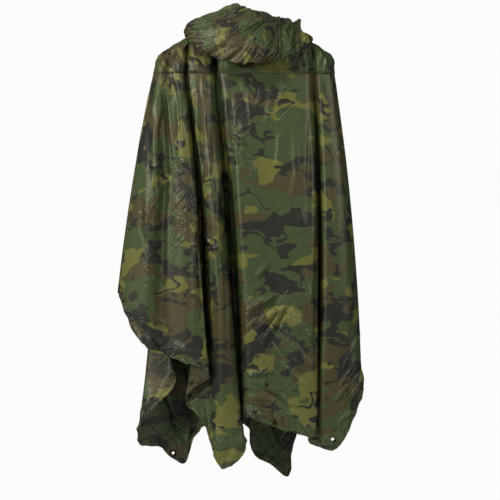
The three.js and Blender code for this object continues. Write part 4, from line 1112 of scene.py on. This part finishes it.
# Columns: name, kind of socket, and its value in metres.
STITCH_INPUTS = [
    ("Geometry", "Geometry", None), ("Stitch spacing", "Float", 0.0042), ("Stitch length", "Float", 0.0028),
    ("Thread width", "Float", 0.0006), ("Thread", "Material", None),
]
tree = bpy.data.node_groups.new("row of stitches", "GeometryNodeTree")
for name, kind, value in STITCH_INPUTS:
    socket = tree.interface.new_socket(name, in_out="INPUT", socket_type=f"NodeSocket{kind}")
    if value is not None:
        socket.default_value = value
tree.interface.new_socket("Geometry", in_out="OUTPUT", socket_type="NodeSocketGeometry")
given = add_node(tree, "NodeGroupInput").outputs
spots = add_node(tree, "GeometryNodeCurveToPoints", {"Curve": given["Geometry"],
                                                     "Length": given["Stitch spacing"]}, mode="LENGTH")
half = add_node(tree, "ShaderNodeMath", {0: given["Thread width"], 1: 0.5}, operation="MULTIPLY")
bar_mesh = add_node(tree, "GeometryNodeMeshCylinder", {"Vertices": THREAD_SIDES, "Radius": half,
                                                       "Depth": given["Stitch length"]})
placed = add_node(tree, "GeometryNodeInstanceOnPoints", {"Points": spots, "Instance": bar_mesh,
                                                         "Rotation": spots.outputs["Rotation"]})
real = add_node(tree, "GeometryNodeRealizeInstances", {"Geometry": placed})
dyed = add_node(tree, "GeometryNodeSetMaterial", {"Geometry": real, "Material": given["Thread"]})
add_node(tree, "NodeGroupOutput", {"Geometry": dyed})
sewing = line_object.modifiers.new("sewing", "NODES")
sewing.node_group = tree
for item in tree.interface.items_tree:
    if item.in_out == "INPUT" and item.name == "Thread":
        sewing[item.identifier] = thread
stitches = as_mesh(line_object)
stitches.name = "hem_and_seam_stitches"
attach(stitches, "root")
print("stitches:", len(stitches.data.polygons) // (THREAD_SIDES + 2))

# %% [markdown]
# ## The cut of the cloth
# The size that each panel was cut to is listed and printed. Only what shows counts here.

# %% Sheets
# Columns: panel, width and length of its cut in metres, and its area. All of them hang from the bar.
SHEETS = [("front_panel", (1.0, 1.08), 0.8), ("back_panel", (0.9, 1.11), 0.66),
          ("centre_panel", (1.2, 0.33), 0.13), ("hood_near_half", (0.36, 0.3), 0.075),
          ("hood_far_half", (0.32, 0.26), 0.053)]
for name, flat, area in SHEETS:
    print(name, "is cut", flat[0], "by", flat[1], "m")

# %% [markdown]
# ## Light and floor
# Soft studio lamps stand left and right in front, so that each fold is lit from its side. A weak one helps
# from the front, a small one lights the yoke from above and one stands behind. The pale floor lies far below.

# %% Lamps
LAMP_COLOUR = "#fff6d6"
GARMENT_MIDDLE, YOKE_MIDDLE = (0, 0, -0.65), (-0.05, 0, -0.1)
# Columns: name, place, what it points at, side in metres and power in watts.
LAMPS = [
    ("key light", (-3.8, -2.5, 0.7), GARMENT_MIDDLE, 0.6, 130),
    ("side light", (3.5, -2.8, 0.6), GARMENT_MIDDLE, 0.6, 58),
    ("front light", (0.6, -4.4, 0.5), GARMENT_MIDDLE, 0.3, 8),
    ("yoke light", (-0.9, -1.5, 1.5), YOKE_MIDDLE, 0.4, 34),
    ("back light", (0.6, 3.8, 0.3), GARMENT_MIDDLE, 0.8, 90),
]
for name, place, aim, size, power in LAMPS:
    lamp = bpy.data.lights.new(name, "AREA")
    lamp.shape = "SQUARE"
    lamp.size = size
    lamp.energy = power
    lamp.color = linear(LAMP_COLOUR)[:3]
    light = to_scene(name, lamp)
    light.location = place
    light.rotation_euler = (Vector(aim) - Vector(place)).to_track_quat("-Z", "Y").to_euler()
    print(name, power, "W")

# %% World and floor
# How bright the wall round the scene is for the cloth and for the camera.
WALL_LIGHT, WALL_SEEN = 0.04, 0.97
FLOOR_Z, FLOOR_HALF = -1.8, 2
world = bpy.data.worlds.new("pale studio")
bpy.context.scene.world = world
world.use_nodes = True
# The camera sees a pale wall all round, while the cloth gets much less light from it than from the lamps.
seen = add_node(world.node_tree, "ShaderNodeLightPath").outputs["Is Camera Ray"]
dim = add_node(world.node_tree, "ShaderNodeMapRange", {"Value": seen, "To Min": WALL_LIGHT,
                                                       "To Max": WALL_SEEN})
set_inputs(world.node_tree.nodes["Background"], {"Strength": dim, "Color": linear("#ffffff")})
bpy.context.scene.view_settings.view_transform = "Standard"
floor_paint, *_ = new_material("floor, pale matt paint", {"Base Color": linear("#e2e7f0"), "Roughness": 0.9})
corners = [(x * FLOOR_HALF, y * FLOOR_HALF, FLOOR_Z) for x, y in [(-1, -1), (1, -1), (1, 1), (-1, 1)]]
mesh_object("floor", corners, [(0, 1, 2, 3)], floor_paint)
